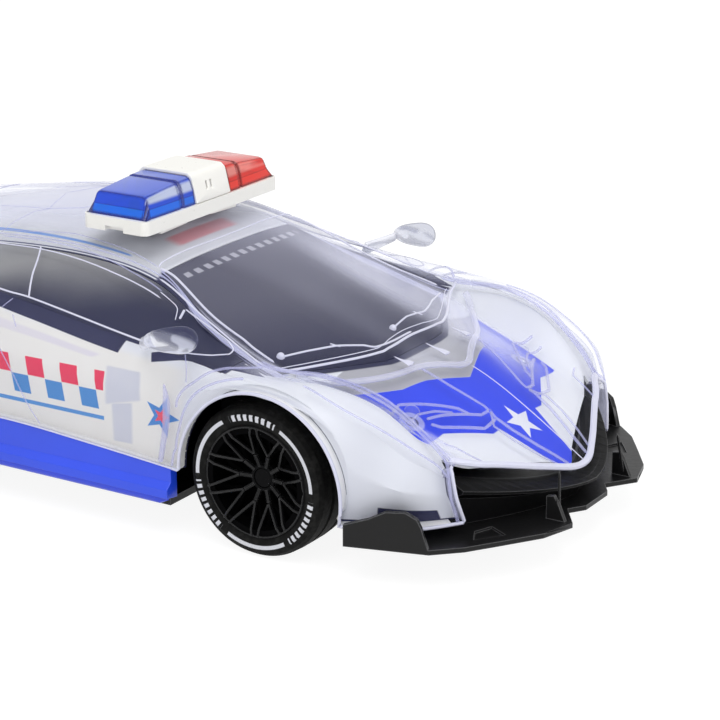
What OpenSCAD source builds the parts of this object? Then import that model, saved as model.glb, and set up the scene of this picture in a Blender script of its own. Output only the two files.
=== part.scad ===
// Toy police car: clear moulded body over a white liner, steering front wheels, geared rear axle.
// Frame: +X ahead, +Y to the car's left, +Z up, origin on the ground under the middle of the car.
// All lengths in millimetres.

/* [Overall] */
// Overall length, splitter tips to diffuser
car_l = 282; // [274:1:296]
// Width of the body over the fenders
car_w = 116; // [113:1:122]
// Distance between the two axles
wheelbase = 152; // [148:1:160]
// Front axle to the splitter tips
front_overhang = 70; // [68:1:74]
// Underside of the floor pan below the axles
floor_drop = 12; // [11:0.5:13]
// Wall of the floor pan and of its ribs
pan_wall = 2; // [1.6:0.1:2.4]

/* [Body shell] */
// Wall of the clear shell
shell_wall = 1.8; // [1.4:0.1:2.2]
// Air between the shell and the liner
liner_gap = 0.8; // [0.5:0.1:1.2]
// Wall of the white liner and the window film
liner_wall = 0.8; // [0.6:0.1:1.2]
// Radius of the wheel arches
arch_r = 24.2; // [23:0.1:25.5]
// How far the front arch centre lies ahead of the axle
arch_lead = 2.5; // [1.5:0.1:3]
// How round the cross section is between its creases
crease_round = 0.45; // [0.3:0.05:0.8]

/* [Wheels] */
// Diameter of the tyres
tyre_d = 40; // [38:0.5:41]
// Width of the tyres
tyre_w = 18; // [15:0.5:19]
// Height of the tyre walls, from the rim to the tread
tyre_wall = 5.3; // [4.5:0.1:6.5]
// Outer face of the tyres inside the body side
tyre_inset = 2; // [1.5:0.1:3.5]
// Wall of the rim barrel
rim_wall = 1.4; // [1:0.1:1.8]
// Number of forked spokes
spokes = 10; // [7:1:12]
// Depth of the hub face inside the tyre face
hub_depth = 5; // [4:0.5:6]

/* [Steering] */
// King pin radius
king_r = 1.5; // [1.2:0.1:1.8]
// King pin axis inside the tyre's inner face
king_inset = 3.5; // [3:0.1:4]
// Steering arm, king pin to tie rod pin
arm_l = 11; // [10:0.5:12]
// Radius of the tie rod pins
arm_pin_r = 1; // [0.8:0.1:1.2]
// Lever of the steering unit, pivot to pin
lever_l = 14; // [13:0.5:16]
// Full lock to either side, in degrees
lock_deg = 15; // [10:1:16]

/* [Drive train] */
// Radius of the rear axle
axle_r = 1.5; // [1.2:0.1:1.8]
// Radius of the idler shaft and the motor shaft
shaft_r = 1; // [0.8:0.1:1.2]
// Gear module
gear_m = 0.5; // [0.45:0.01:0.55]
// Teeth of the gear on the rear axle
axle_teeth = 32; // [30:1:34]
// Teeth of the small idler gear
idler_small_teeth = 10; // [10:1:12]
// Teeth of the large idler gear
idler_big_teeth = 32; // [30:1:34]
// Teeth of the motor pinion
pinion_teeth = 8; // [8:1:10]
// Play between meshing teeth
backlash = 0.12; // [0.08:0.01:0.16]
// Radius of the motor can
motor_r = 10; // [9:0.1:10.5]
// Height of the motor can over its flats
motor_flat_h = 15; // [14:0.1:16]
// Length of the motor can
motor_l = 26; // [24:0.5:28]

/* [Battery] */
// Diameter of a cell
cell_d = 14.5; // [14:0.1:15]
// Length of a cell
cell_l = 50.5; // [49:0.5:52]
// Cells side by side
cells = 3; // [2:1:3]

/* [Light bar] */
// Length of the light bar base across the roof
bar_l = 62; // [58:1:66]
// Depth of the light bar base along the car
bar_d = 21; // [19:0.5:23]
// Height of the light bar base
bar_base_h = 3.8; // [3.4:0.1:4.4]
// Height of the lenses above the base
lens_h = 7; // [6:0.1:8]
// Wall of the lenses
lens_wall = 1; // [0.8:0.1:1.2]
// Width of the white bridge between the lenses
bridge_w = 15.6; // [14:0.2:17]

/* [Fits] */
// Radial running clearance of shafts and pins
run_gap = 0.05; // [0.04:0.01:0.08]
// Clearance between pieces that are set together
seat_gap = 0.15; // [0.1:0.05:0.2]
// Clearance around pieces that slide
slide_gap = 0.25; // [0.2:0.05:0.35]

/* [Hidden] */
$fn = 48;

// Datums
half_w = car_w / 2;
// Radius of the rims, which is the bore of the tyres
rim_r = tyre_d / 2 - tyre_wall;
nose_x = car_l / 2;
tail_x = -car_l / 2;
front_x = nose_x - front_overhang;
rear_x = front_x - wheelbase;
axle_z = tyre_d / 2;
floor_z = axle_z - floor_drop;
deck_z = floor_z + pan_wall;
tyre_face_y = half_w - tyre_inset;
tyre_back_y = tyre_face_y - tyre_w;
king_y = tyre_back_y - king_inset;
eps = 0.01;

// Character lines of the body, nose to tail, one point per station.
// A point is [distance ahead of its axle, half breadth, height above the axles].
// The first rear_station points are measured from the front axle, the others from the rear axle.
rear_station = 9;
centre_line = [[63.2, 0, 0], [47, 0, 10.2], [30, 0, 20.3], [22.5, 0, 22.8], [14.5, 0, 25], [-15, 0, 35.2],
    [-45, 0, 44.8], [-68, 0, 49.5], [-100, 0, 49.2],
    [24, 0, 45.2], [9, 0, 42], [-9, 0, 37.8], [-26, 0, 33.4], [-53, 0, 28], [-57, 0, 13]];
ridge_line = [[62.5, 5.3, 0.6], [45.5, 9.4, 10.9], [27.5, 14.2, 21.2], [20.5, 14.8, 23.6], [14, 14.9, 25.2],
    [-15, 15.4, 35], [-45, 15.5, 44.6], [-68, 15.5, 49.1], [-100, 15, 48.8],
    [24, 15, 44.8], [9, 15, 41.6], [-9, 15, 37.4], [-26, 15, 33.1], [-53, 15, 27.9], [-57, 15, 13]];
valley_line = [[53.2, 30, 6.2], [43, 32, 11], [28, 34.5, 16.4], [14, 37, 20.8], [-1, 40, 26],
    [-23, 37.2, 33.2],
    [-45, 29.8, 43.6], [-68, 28, 47.4], [-100, 26, 47],
    [24, 25, 43.4], [9, 25.5, 40.4], [-9, 26.5, 36.4], [-26, 27.5, 32.3], [-53, 29, 27.4], [-57, 29, 13]];
rail_line = [[47.4, 39.5, 8.6], [41.5, 41, 15.4], [30, 43, 24], [15.8, 45, 27.8], [-3, 45.2, 27.6],
    [-24, 40.2, 34.2], [-45, 33.6, 41.3], [-68, 33, 45], [-100, 32.4, 44.2],
    [24, 32.5, 40.2], [9, 33, 38.2], [-9, 34, 35], [-26, 35.5, 31.2], [-53, 37.5, 26.8], [-56.8, 37, 13]];
// On the outer lines the breadth is the inset from the widest part of the body.
belt_line = [[48.6, 16.5, 7.2], [42, 8, 13.4], [31, 5.6, 20], [18, 4.6, 25.2], [-4, 4, 27.9],
    [-25, 4.6, 29.6],
    [-49, 5.6, 32], [-74, 6.2, 35.4], [-101, 7, 38.4],
    [25, 7, 37], [9, 6.4, 35.4], [-9, 6, 33.2], [-26, 6.4, 30.4], [-51, 9, 26], [-55, 11, 13]];
// Inset of the shoulder, which lies between the belt and the lower edge
shoulder_inset = [16.8, 3.6, 0.7, 0.3, 0.3, 0.5, 0.6, 0.6, 0.4, 0.2, 0, 0, 0.6, 6, 9.5];
// Where the shoulder lies between the belt, 0, and the lower edge, 1
shoulder_share = 0.45;
// Lower edge ahead of the front arch, along the sill and behind the rear arch
nose_edge = [[50.9, 18.9, -5.4], [41, 8, -5.8]];
sill_edge = [[-49, 0.5, 1.5], [-76, 0.5, 3], [-101, 0.5, 2.6]];
tail_edge = [[-44, 4.5, 4], [-53.5, 10.5, 6]];
// Inset of the arch lips, and the angles at which the arches start and end
arch_inset = 0.4;
front_arch_deg = [-13, 181];
rear_arch_deg = [-3, 184];
// Stations between which the lower edge follows the arches
front_arch = [2, 5];
rear_arch = [9, 12];
last_station = len(centre_line) - 1;
belt_v = 4;
edge_v = 6;

// Grid of the body skins: steps between stations, and places across from the centre line to the lower edge
station_steps = 3;
across = [0, 0.5, 1, 1.5, 2, 3, 3.5, 4, 4.5, 5, 5.5, 5.85, 6];
along = [for (i = [0 : last_station * station_steps]) i / station_steps];

function mix(a, b, t) = a + (b - a) * t;
function unit(v) = v / norm(v);
// Smooth curve through the points of a list, at a position counted in points
function curve(p, s) =
    let (n = len(p) - 1, i = max(0, min(floor(s), n - 1)), t = s - i,
        a = p[max(i - 1, 0)], b = p[i], c = p[i + 1], d = p[min(i + 2, n)])
    b + ((c - a) * t + (2 * a - 5 * b + 4 * c - d) * t * t + (3 * b - a - 3 * c + d) * t * t * t) / 2;
function station(k, p) = [(k < rear_station ? front_x : rear_x) + p[0], p[1], axle_z + p[2]];
function outer_station(k, p) = station(k, [p[0], half_w - p[1], p[2]]);
function inner_points(line) = [for (k = [0 : last_station]) station(k, line[k])];
function outer_points(line, first = 0) = [for (k = [0 : len(line) - 1]) outer_station(first + k, line[k])];
function arch_point(x, a) = [x + arch_r * cos(a), half_w - arch_inset, axle_z + arch_r * sin(a)];
function front_arch_point(t) =
    arch_point(front_x + arch_lead, mix(front_arch_deg[0], front_arch_deg[1], t));
function rear_arch_point(t) = arch_point(rear_x, mix(rear_arch_deg[0], rear_arch_deg[1], t));

centre_p = inner_points(centre_line);
ridge_p = inner_points(ridge_line);
valley_p = inner_points(valley_line);
rail_p = inner_points(rail_line);
belt_p = outer_points(belt_line);
nose_p = concat(outer_points(nose_edge), [front_arch_point(0)]);
sill_p = concat([front_arch_point(1)], outer_points(sill_edge), [rear_arch_point(0)]);
tail_p = concat([rear_arch_point(1)], outer_points(tail_edge, rear_station));

// Lower edge of the body at a station: nose, front arch, sill, rear arch, tail
function edge_point(u) =
    u < front_arch[0] ? curve(nose_p, u) :
    u < front_arch[1] ? front_arch_point((u - front_arch[0]) / (front_arch[1] - front_arch[0])) :
    u < rear_arch[0] ? curve(sill_p, u - front_arch[1]) :
    u < rear_arch[1] ? rear_arch_point((u - rear_arch[0]) / (rear_arch[1] - rear_arch[0])) :
    curve(tail_p, u - rear_arch[1]);
function shoulder_point(u) =
    let (p = mix(curve(belt_p, u), edge_point(u), shoulder_share))
    [p[0], half_w - curve(shoulder_inset, u), p[2]];
function section(u) = [curve(centre_p, u), curve(ridge_p, u), curve(valley_p, u), curve(rail_p, u),
    curve(belt_p, u), shoulder_point(u), edge_point(u)];
function flip(p) = [p[0], -p[1], p[2]];
// Point of the body's outer face at a station, v places across, negative on the right side
function body_point(u, v) =
    let (s = section(u), w = abs(v), i = min(floor(w), edge_v - 1), t = w - i,
        ring = concat([flip(s[1])], s),
        p = mix(mix(s[i], s[i + 1], t), curve(ring, w + 1), crease_round))
    v < 0 ? flip(p) : p;
grid_step = 0.04;
function body_normal(u, v) =
    let (u0 = max(u - grid_step, 0), u1 = min(u + grid_step, last_station),
        v0 = max(v - grid_step, -edge_v), v1 = min(v + grid_step, edge_v))
    unit(cross(body_point(u0, v) - body_point(u1, v), body_point(u, v1) - body_point(u, v0)));
function body_inset(u, v, depth) = body_point(u, v) - depth * body_normal(u, v);

// Wall between two depths under the body's outer face, over the cells of a grid that keep() allows
module skin(us, vs, depth, wall, keep = function(u, v) true) {
    nu = len(us);
    nv = len(vs);
    top = [for (u = us) for (v = vs) body_inset(u, v, depth)];
    under = [for (u = us) for (v = vs) body_inset(u, v, depth + wall)];
    cell = function(i, j) i >= 0 && j >= 0 && i < nu - 1 && j < nv - 1
        && keep((us[i] + us[i + 1]) / 2, (vs[j] + vs[j + 1]) / 2);
    kept = [for (i = [0 : nu - 2]) for (j = [0 : nv - 2]) if (cell(i, j)) [i, j]];
    n = nu * nv;
    at = function(i, j) i * nv + j;
    quad = function(a, b, c, d) [[a, b, c], [a, c, d]];
    wall_between = function(a, b) quad(a, b, b + n, a + n);
    faces = [for (c = kept) let (i = c[0], j = c[1],
            a = at(i, j), b = at(i + 1, j), e = at(i + 1, j + 1), d = at(i, j + 1))
        each concat(quad(a, b, e, d), quad(d + n, e + n, b + n, a + n),
            cell(i - 1, j) ? [] : wall_between(a, d), cell(i + 1, j) ? [] : wall_between(e, b),
            cell(i, j - 1) ? [] : wall_between(b, a), cell(i, j + 1) ? [] : wall_between(d, e))];
    polyhedron(concat(top, under), faces);
}

// Places across on one side of the car, 1 for left and -1 for right, in rising order
function on_side(side, vs) = side > 0 ? vs : [for (i = [len(vs) - 1 : -1 : 0]) -vs[i]];
both_sides = concat(on_side(-1, [for (i = [1 : len(across) - 1]) across[i]]), across);

liner_depth = shell_wall + liner_gap;
screen_u = [4, 6];
screen_v = 2;
window_u = [4 + 1 / 3, 8 + 2 / 3];
window_v = [3, 4];
film_edge = 0.04;
window_edge = 0.13;
function in_screen(u, v) = u > screen_u[0] && u < screen_u[1] && abs(v) < screen_v;
function in_window(u, v) =
    u > window_u[0] && u < window_u[1] && abs(v) > window_v[0] && abs(v) < window_v[1];
// The list with its ends drawn in by a film's edge clearance
function drawn_in(l, edge) = [for (i = [0 : len(l) - 1])
    l[i] + (i == 0 ? edge : i == len(l) - 1 ? -edge : 0)];
function within(l, low, high) = [for (x = l) if (x > low - eps && x < high + eps) x];

module body_shell() {
    color([0.86, 0.88, 0.97, 0.4]) skin(along, both_sides, 0, shell_wall);
}

liner_u = [1 / 3, last_station - 1 / 3];
liner_v = 5.85;
module body_liner() {
    color("white") skin(within(along, liner_u[0], liner_u[1]), within(both_sides, -liner_v, liner_v),
        liner_depth, liner_wall, function(u, v) !in_screen(u, v) && !in_window(u, v));
}

module windscreen_film() {
    color([0.2, 0.21, 0.32, 0.8]) skin(drawn_in(within(along, screen_u[0], screen_u[1]), film_edge),
        drawn_in(within(both_sides, -screen_v, screen_v), film_edge), liner_depth, liner_wall);
}

module window_film(side) {
    color([0.2, 0.21, 0.32, 0.8]) skin(drawn_in(within(along, window_u[0], window_u[1]), film_edge),
        drawn_in(on_side(side, within(across, window_v[0], window_v[1])), window_edge),
        liner_depth, liner_wall);
}
module left_window_film() { window_film(1); }
module right_window_film() { window_film(-1); }

// Tail lights lie on the shell between two places across, above its lower edge
tail_light_h = 1.2;
tail_light_u = [13.3, 13.65];
tail_light_v = [1.3, 2.7];
module tail_light(side) {
    color("red") skin(tail_light_u, on_side(side, [tail_light_v[0], 2, tail_light_v[1]]),
        -tail_light_h - seat_gap, tail_light_h);
}
module left_tail_light() { tail_light(1); }
module right_tail_light() { tail_light(-1); }

// Door mirrors stand on the belt just behind the pillar
mirror_u = 4.55;
mirror_v = 3.95;
mirror_out = 9;
mirror_back = 15;
mirror_rise = 5.6;
mirror_size = [4.2, 2.4, 3.8];
module mirror_piece(side) {
    foot = body_point(mirror_u, mirror_v);
    out = body_normal(mirror_u, mirror_v);
    foot_r = 1.4;
    head = foot + [-mirror_back / 2, mirror_out - mirror_size[1], mirror_rise];
    color([0.86, 0.88, 0.97, 0.5]) mirror([0, side < 0 ? 1 : 0, 0]) {
        hull() {
            translate(foot + (foot_r + seat_gap) * out) sphere(foot_r, $fn = 16);
            translate(head) sphere(foot_r, $fn = 16);
        }
        hull() for (e = [-1, 1]) translate(head + [e * mirror_size[0], -e, e])
            sphere(e < 0 ? mirror_size[1] : mirror_size[2], $fn = 20);
    }
}
module left_mirror() { mirror_piece(1); }
module right_mirror() { mirror_piece(-1); }

// Shape drawn ahead along X and across in Y, then raised between two heights
module plate(low, high, points) {
    translate([0, 0, low]) linear_extrude(high - low) polygon(points);
}
// Plan outline given on the left side only, mirrored to the right
function mirrored(points) =
    concat(points, [for (i = [len(points) - 1 : -1 : 0]) [points[i][0], -points[i][1]]]);
module both() {
    children();
    mirror([0, 1, 0]) children();
}

// Floor pan: narrow between the front wheels, wide along the doors, narrow between the rear wheels
pan_front_x = front_x + 27;
diffuser_l = 15;
pan_tail_x = tail_x + diffuser_l;
lock_reach = tyre_d / 2 * cos(lock_deg) + (tyre_face_y - king_y) * sin(lock_deg);
door_front_x = front_x - lock_reach - 2;
door_rear_x = rear_x + tyre_d / 2 + 6;
tail_front_x = rear_x - tyre_d / 2 - 6;
skirt_w = 3.6;
pan_y = half_w - skirt_w;
pan_nose_y = king_y - 4;
pan_rear_y = tyre_back_y - 2;
pan_tail_y = half_w - 14;
pan_rim_h = 8;
pan_outline = [[pan_front_x, pan_nose_y], [door_front_x, pan_nose_y], [door_front_x, pan_y],
    [door_rear_x, pan_y], [door_rear_x, pan_rear_y], [tail_front_x, pan_rear_y],
    [tail_front_x, pan_tail_y], [pan_tail_x, pan_tail_y]];

// Battery box on the pan, open below, closed by the door
box_wall = 1.2;
cell_play = 0.4;
contact_l = 2.5;
box_x = front_x - 75;
box_in = [cell_l + 2 * contact_l, cells * (cell_d + cell_play) + cell_play, cell_d + cell_play];
door_h = 1.6;
door_lap = 2;
box_low = floor_z + door_h + seat_gap;
box_top = box_low + box_in[2] + box_wall;
door_size = [box_in[0] + 2 * door_lap, box_in[1] + 2 * door_lap];

// Places of the four body posts on the liner, as station and place across
post_places = [[2.75, 1.5], [12.48, 1.6]];
post_r = 3;
post_hole_r = 1.1;
boss_h = 5;
screw_r = 1;
screw_head_r = 2.2;
screw_head_h = 1.6;
function post_top(place) = body_inset(place[0], place[1], liner_depth + liner_wall);

// King pin bearings
king_boss_r = king_r + 1.9;
king_low = floor_z + 0.5;
knuckle_half_h = 6;
king_boss_top = axle_z - knuckle_half_h - 0.4;
cover_z = axle_z + knuckle_half_h + 0.4;
cover_h = 2;
cover_half_d = 4.5;
cover_post_y = king_y - 12;
cover_post_r = 3;

// Right end bearing of the rear axle
carrier_y = -27;
carrier_w = 4;
carrier_half_l = 4;
carrier_top = axle_z + axle_r + 2.5;

// Power switch under the pan
switch_set_back = 8;
switch_x = box_x - door_size[0] / 2 - switch_set_back;
switch_travel = 4;
switch_knob = [3, 4];

module chassis_tray() {
    color([0.09, 0.09, 0.1]) difference() {
        union() {
            plate(floor_z, deck_z, mirrored(pan_outline));
            both() translate([door_rear_x, pan_y - pan_wall, floor_z])
                cube([door_front_x - door_rear_x, pan_wall, pan_rim_h]);
            translate([box_x - box_in[0] / 2 - box_wall, -box_in[1] / 2 - box_wall, floor_z])
                cube([box_in[0] + 2 * box_wall, box_in[1] + 2 * box_wall, box_top - floor_z]);
            both() for (p = post_places) translate([post_top(p)[0], post_top(p)[1], floor_z])
                cylinder(boss_h + pan_wall, r = post_r + 1);
            both() {
                translate([front_x - king_boss_r - 1, 0, floor_z])
                    cube([2 * king_boss_r + 2, king_y, pan_wall]);
                translate([front_x, king_y, floor_z]) cylinder(king_boss_top - floor_z, r = king_boss_r);
            }
            translate([rear_x - carrier_half_l, carrier_y, floor_z])
                cube([2 * carrier_half_l, carrier_w, carrier_top - floor_z]);
        }
        translate([box_x - box_in[0] / 2, -box_in[1] / 2, floor_z - eps])
            cube([box_in[0], box_in[1], box_low + box_in[2] - floor_z + eps]);
        translate([box_x - door_size[0] / 2 - slide_gap, -door_size[1] / 2 - slide_gap, floor_z - eps])
            cube([door_size[0] + 2 * slide_gap, door_size[1] + 2 * slide_gap, door_h + seat_gap + eps]);
        both() for (p = post_places) translate([post_top(p)[0], post_top(p)[1], floor_z]) {
            translate([0, 0, -eps]) cylinder(boss_h + pan_wall + 1, r = screw_r + seat_gap);
            translate([0, 0, -eps]) cylinder(screw_head_h + 1, r = screw_head_r + seat_gap);
        }
        both() translate([front_x, king_y, floor_z - 1])
            cylinder(king_boss_top - floor_z + 2, r = king_r + run_gap);
        translate([rear_x, carrier_y - 1, axle_z]) rotate([-90, 0, 0])
            cylinder(carrier_w + 2, r = axle_r + run_gap);
        translate([switch_x - switch_knob[0] / 2 - slide_gap, -switch_knob[1] / 2 - slide_gap, floor_z - 1])
            cube([switch_knob[0] + switch_travel + 2 * slide_gap, switch_knob[1] + 2 * slide_gap,
                pan_wall + 2]);
    }
}

// Front bumper: splitter plate with two tips, slanted side plates and upright blades
splitter_z = deck_z + seat_gap;
splitter_h = 1.3;
splitter_lap = 3;
splitter_back_x = pan_front_x - splitter_lap;
splitter_edge_x = pan_front_x + 1;
// Outer ends of a side plate in plan, rear and front
side_plate_rear = [splitter_edge_x, half_w + 0.7];
side_plate_front = [nose_x - 21.4, half_w - 5.4];
side_plate_w = 1.4;
blade_y = 18.5;
splitter_outline = [[nose_x - 2.5, 0], [nose_x - 2.5, 6], [nose_x - 5.5, 10.5], [nose_x, blade_y],
    [nose_x - 2.9, half_w - 29.6], [nose_x - 9.8, half_w - 19.2], [nose_x - 15, half_w - 11.6],
    side_plate_front, side_plate_rear, [splitter_edge_x, pan_nose_y], [splitter_back_x, pan_nose_y]];
recess_outline = [[nose_x - 18, half_w - 22], [nose_x - 16, half_w - 27], [nose_x - 10.5, half_w - 24],
    [nose_x - 15.5, half_w - 17]];
recess_h = 0.6;
// Side plate from the side: share of its length from the rear, height over the splitter's underside
side_plate_outline = [[0, 0], [0, 5.6], [0.3, 7.8], [0.5, 10], [0.72, 10.3], [0.86, 8.8], [0.91, 6.6],
    [1, 0.6], [1, 0]];
blade_w = 1.2;
blade_outline = [[nose_x - 7.2, splitter_h], [nose_x - 2, splitter_h], [nose_x - 4, 5.8],
    [nose_x - 5.2, 7.6], [nose_x - 7.2, 7.2]];
module front_bumper() {
    side_plate = side_plate_front - side_plate_rear;
    color([0.07, 0.07, 0.08]) {
        difference() {
            plate(splitter_z, splitter_z + splitter_h, mirrored(splitter_outline));
            both() plate(splitter_z + splitter_h - recess_h, splitter_z + splitter_h + 1, recess_outline);
        }
        both() {
            translate([side_plate_rear[0], side_plate_rear[1], splitter_z])
                rotate([0, 0, atan2(side_plate[1], side_plate[0])]) rotate([90, 0, 0])
                linear_extrude(side_plate_w)
                polygon([for (p = side_plate_outline) [p[0] * norm(side_plate), p[1]]]);
            translate([0, blade_y + blade_w / 2, splitter_z]) rotate([90, 0, 0])
                linear_extrude(blade_w) polygon(blade_outline);
        }
    }
}

// Grille: a wall that sweeps back and up from the middle to the fenders, with a bar across it.
// Each row is [x in the middle, x at the side, height in the middle, height at the side].
grille_half = half_w - 21;
grille_low = splitter_z + splitter_h + seat_gap - axle_z;
grille_rows = [[nose_x - 10.5, nose_x - 26, -2.6, 4.8], [nose_x - 2.9, nose_x - 20.8, -3, 1.6],
    [nose_x - 3.1, nose_x - 21, -3.8, 0.8], [nose_x - 7, nose_x - 24, -5, -0.8],
    [nose_x - 8.5, nose_x - 25, grille_low, grille_low]];
grille_wall = 2;
grille_columns = 20;
grille_sweep = 1.6;
module front_grille() {
    rows = len(grille_rows);
    sides = [for (j = [0 : grille_columns]) 2 * j / grille_columns - 1];
    face = function(back) [for (s = sides) let (t = pow(abs(s), grille_sweep)) for (r = grille_rows)
        [mix(r[0], r[1], t) - back, s * grille_half, axle_z + mix(r[2], r[3], t)]];
    n = rows * (grille_columns + 1);
    ring = concat([for (k = [0 : rows - 1]) k], [for (k = [rows - 1 : -1 : 0]) k + n]);
    loop = len(ring);
    color([0.05, 0.05, 0.06]) polyhedron(concat(face(0), face(grille_wall)), concat(
        [for (j = [0 : grille_columns - 1]) for (k = [0 : loop - 1])
            let (a = ring[k], b = ring[(k + 1) % loop]) each [
                [j * rows + a, j * rows + b, (j + 1) * rows + b],
                [j * rows + a, (j + 1) * rows + b, (j + 1) * rows + a]]],
        [for (k = [0 : rows - 2]) each [[ring[k + 1], ring[k], k + n], [ring[k + 1], k + n, k + 1 + n]]],
        [for (k = [0 : rows - 2]) let (e = grille_columns * rows) each [
            [e + k, e + k + 1, e + k + n], [e + k + 1, e + k + 1 + n, e + k + n]]]));
}

// Rear bumper: a channel with fins between two wings
diffuser_x = pan_tail_x - seat_gap;
diffuser_inset = 18;
diffuser_half = half_w - diffuser_inset;
diffuser_top = axle_z + 11;
wing_top = axle_z + 3.5;
fin_pitch = 14;
fin_w = 1.6;
channel_wall = 2.2;
module rear_bumper() {
    channel = [[diffuser_x, floor_z], [tail_x + 4, floor_z + 2], [tail_x, axle_z - 1],
        [tail_x + 1.5, diffuser_top], [tail_x + 1.5 + channel_wall, diffuser_top],
        [tail_x + channel_wall, axle_z - 1],
        [tail_x + 5.5, floor_z + 2 + channel_wall], [diffuser_x, floor_z + channel_wall]];
    fin = [[diffuser_x, floor_z], [tail_x + 4, floor_z + 2], [tail_x + 1.6, axle_z - 8],
        [diffuser_x, axle_z - 8]];
    color([0.07, 0.07, 0.08]) {
        translate([0, diffuser_half, 0]) rotate([90, 0, 0])
            linear_extrude(2 * diffuser_half) polygon(channel);
        for (i = [-2 : 2]) translate([0, i * fin_pitch + fin_w / 2, 0]) rotate([90, 0, 0])
            linear_extrude(fin_w) polygon(fin);
        both() plate(floor_z, wing_top, [[diffuser_x, diffuser_half], [diffuser_x, half_w - 13],
            [tail_x + 8, half_w - 14], [tail_x + 2.5, diffuser_half]]);
    }
}

// Side skirts: a face that follows the sill from arch to arch, over a proud lower lip
skirt_lip = 1;
skirt_inset = 0.8;
skirt_ends = [door_rear_x - 0.4, door_front_x + 2.4];
skirt_lip_z = [floor_z + 3.6, floor_z + 6];
sill_steps = 24;
module side_skirt() {
    sill = [for (i = [0 : sill_steps]) curve(sill_p, i * (len(sill_p) - 1) / sill_steps)];
    top = [for (p = sill) if (p[0] > skirt_ends[0] && p[0] < skirt_ends[1]) [p[0], p[2] - slide_gap]];
    face = concat([[skirt_ends[1], skirt_lip_z[0]], [skirt_ends[1], top[0][1]]], top,
        [[skirt_ends[0], top[len(top) - 1][1]], [skirt_ends[0], skirt_lip_z[0]]]);
    lip = [[pan_y + seat_gap, floor_z + 3], [half_w + skirt_lip, skirt_lip_z[0]],
        [half_w + skirt_lip, skirt_lip_z[1]],
        [half_w - skirt_inset, skirt_lip_z[1] + 1.6], [pan_y + seat_gap, skirt_lip_z[1] + 1.6]];
    color([0.16, 0.28, 0.92]) {
        translate([0, half_w - skirt_inset, 0]) rotate([90, 0, 0])
            linear_extrude(half_w - skirt_inset - pan_y - seat_gap) polygon(face);
        translate([skirt_ends[0], 0, 0]) rotate([90, 0, 90])
            linear_extrude(skirt_ends[1] - skirt_ends[0]) polygon(lip);
    }
}
module left_side_skirt() { side_skirt(); }
module right_side_skirt() { mirror([0, 1, 0]) side_skirt(); }

// Light bar: a base on two roof feet, two lenses, a bridge between them, a lamp board inside
bar_x = front_x - 60.5;
bar_feet_u = [6.45, 6.95];
bar_feet_v = [0.35, 1.15];
bar_low = axle_z + 50.4;
bar_top = bar_low + bar_base_h;
bar_corner = 2;
bar_tray = 1.4;
foot_gap = 0.42;
module rounded_block(size, r) {
    translate([-size[0] / 2 + r, -size[1] / 2 + r, 0]) linear_extrude(size[2]) offset(r)
        square([size[0] - 2 * r, size[1] - 2 * r]);
}
// Block from four points on the roof up to a level, wound as seen from outside
module roof_foot(u, v, level) {
    low = [for (q = [[0, 0], [1, 0], [1, 1], [0, 1]]) body_inset(u[q[0]], v[q[1]], -foot_gap)];
    polyhedron(concat(low, [for (p = low) [p[0], p[1], level]]),
        [[0, 2, 1], [0, 3, 2], [4, 5, 6, 7], [0, 1, 5, 4], [1, 2, 6, 5], [2, 3, 7, 6], [3, 0, 4, 7]]);
}
bar_slot = [6, 4, 1.4];
module light_bar_base() {
    color([0.97, 0.96, 0.92]) {
        difference() {
            translate([bar_x, 0, bar_low]) rounded_block([bar_d, bar_l, bar_base_h], bar_corner);
            translate([bar_x, 0, bar_low + bar_tray])
                rounded_block([bar_d - 4, bar_l - 5, bar_base_h], bar_corner);
            both() translate([bar_x - bar_slot[0] / 2, bar_l / 2 - bar_slot[1] / 2, bar_low - eps])
                cube(bar_slot);
        }
        both() roof_foot(bar_feet_u, bar_feet_v, bar_low);
    }
}

lens_inset = 1.2;
lens_lean = 2.1;
lens_rise = 0.9;
lens_gap = 0.3;
// Solid bounded by the lens shape, drawn in by a wall
module lens_form(wall, low) {
    x0 = bar_d / 2 - 0.5 - wall;
    x1 = x0 - lens_lean;
    y0 = bridge_w / 2 + lens_gap + wall;
    y1 = bar_l / 2 - lens_inset - wall;
    z0 = bar_top + seat_gap;
    z1 = bar_top + lens_h - 1 - wall;
    hull() {
        translate([bar_x - x0, y0, z0 - low]) cube([2 * x0, y1 - y0, eps + low]);
        translate([bar_x - x1, y1 - 1.8 - eps, z1]) cube([2 * x1, eps, eps]);
        translate([bar_x - x1, y0, z1 + lens_rise]) cube([2 * x1, eps, eps]);
        translate([bar_x - x1 + 2, y0, z1 + lens_rise + 0.6]) cube([2 * x1 - 4, eps, eps]);
    }
}
module lens() {
    difference() {
        lens_form(0, 0);
        lens_form(lens_wall, 1);
    }
}
module red_lens() { color([0.9, 0.08, 0.06, 0.8]) lens(); }
module blue_lens() { color([0.1, 0.35, 0.95, 0.8]) mirror([0, 1, 0]) lens(); }

bridge_rise = 1.2;
module light_bar_bridge() {
    x0 = bar_d / 2;
    profile = [[-x0, 0], [x0, 0], [x0 - 1.8, lens_h + bridge_rise - 1], [x0 - 3, lens_h + bridge_rise],
        [-x0 + 3, lens_h + bridge_rise], [-x0 + 1.8, lens_h + bridge_rise - 1]];
    inner = [for (p = profile) [p[0] * (1 - 2 * lens_wall / bar_d), p[1] - (p[1] > 0 ? lens_wall : 1)]];
    vent = [2, 0.7, 2.2];
    color([0.97, 0.96, 0.92]) difference() {
        translate([bar_x, bridge_w / 2, bar_top + seat_gap]) rotate([90, 0, 0])
            linear_extrude(bridge_w) difference() {
            polygon(profile);
            polygon(inner);
        }
        for (e = [-1, 1]) for (i = [0 : 1])
            translate([bar_x + e * (x0 - 1.2) - vent[0] / 2, -2.2 + 2 * i, bar_top + 3]) cube(vent);
    }
}

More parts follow.
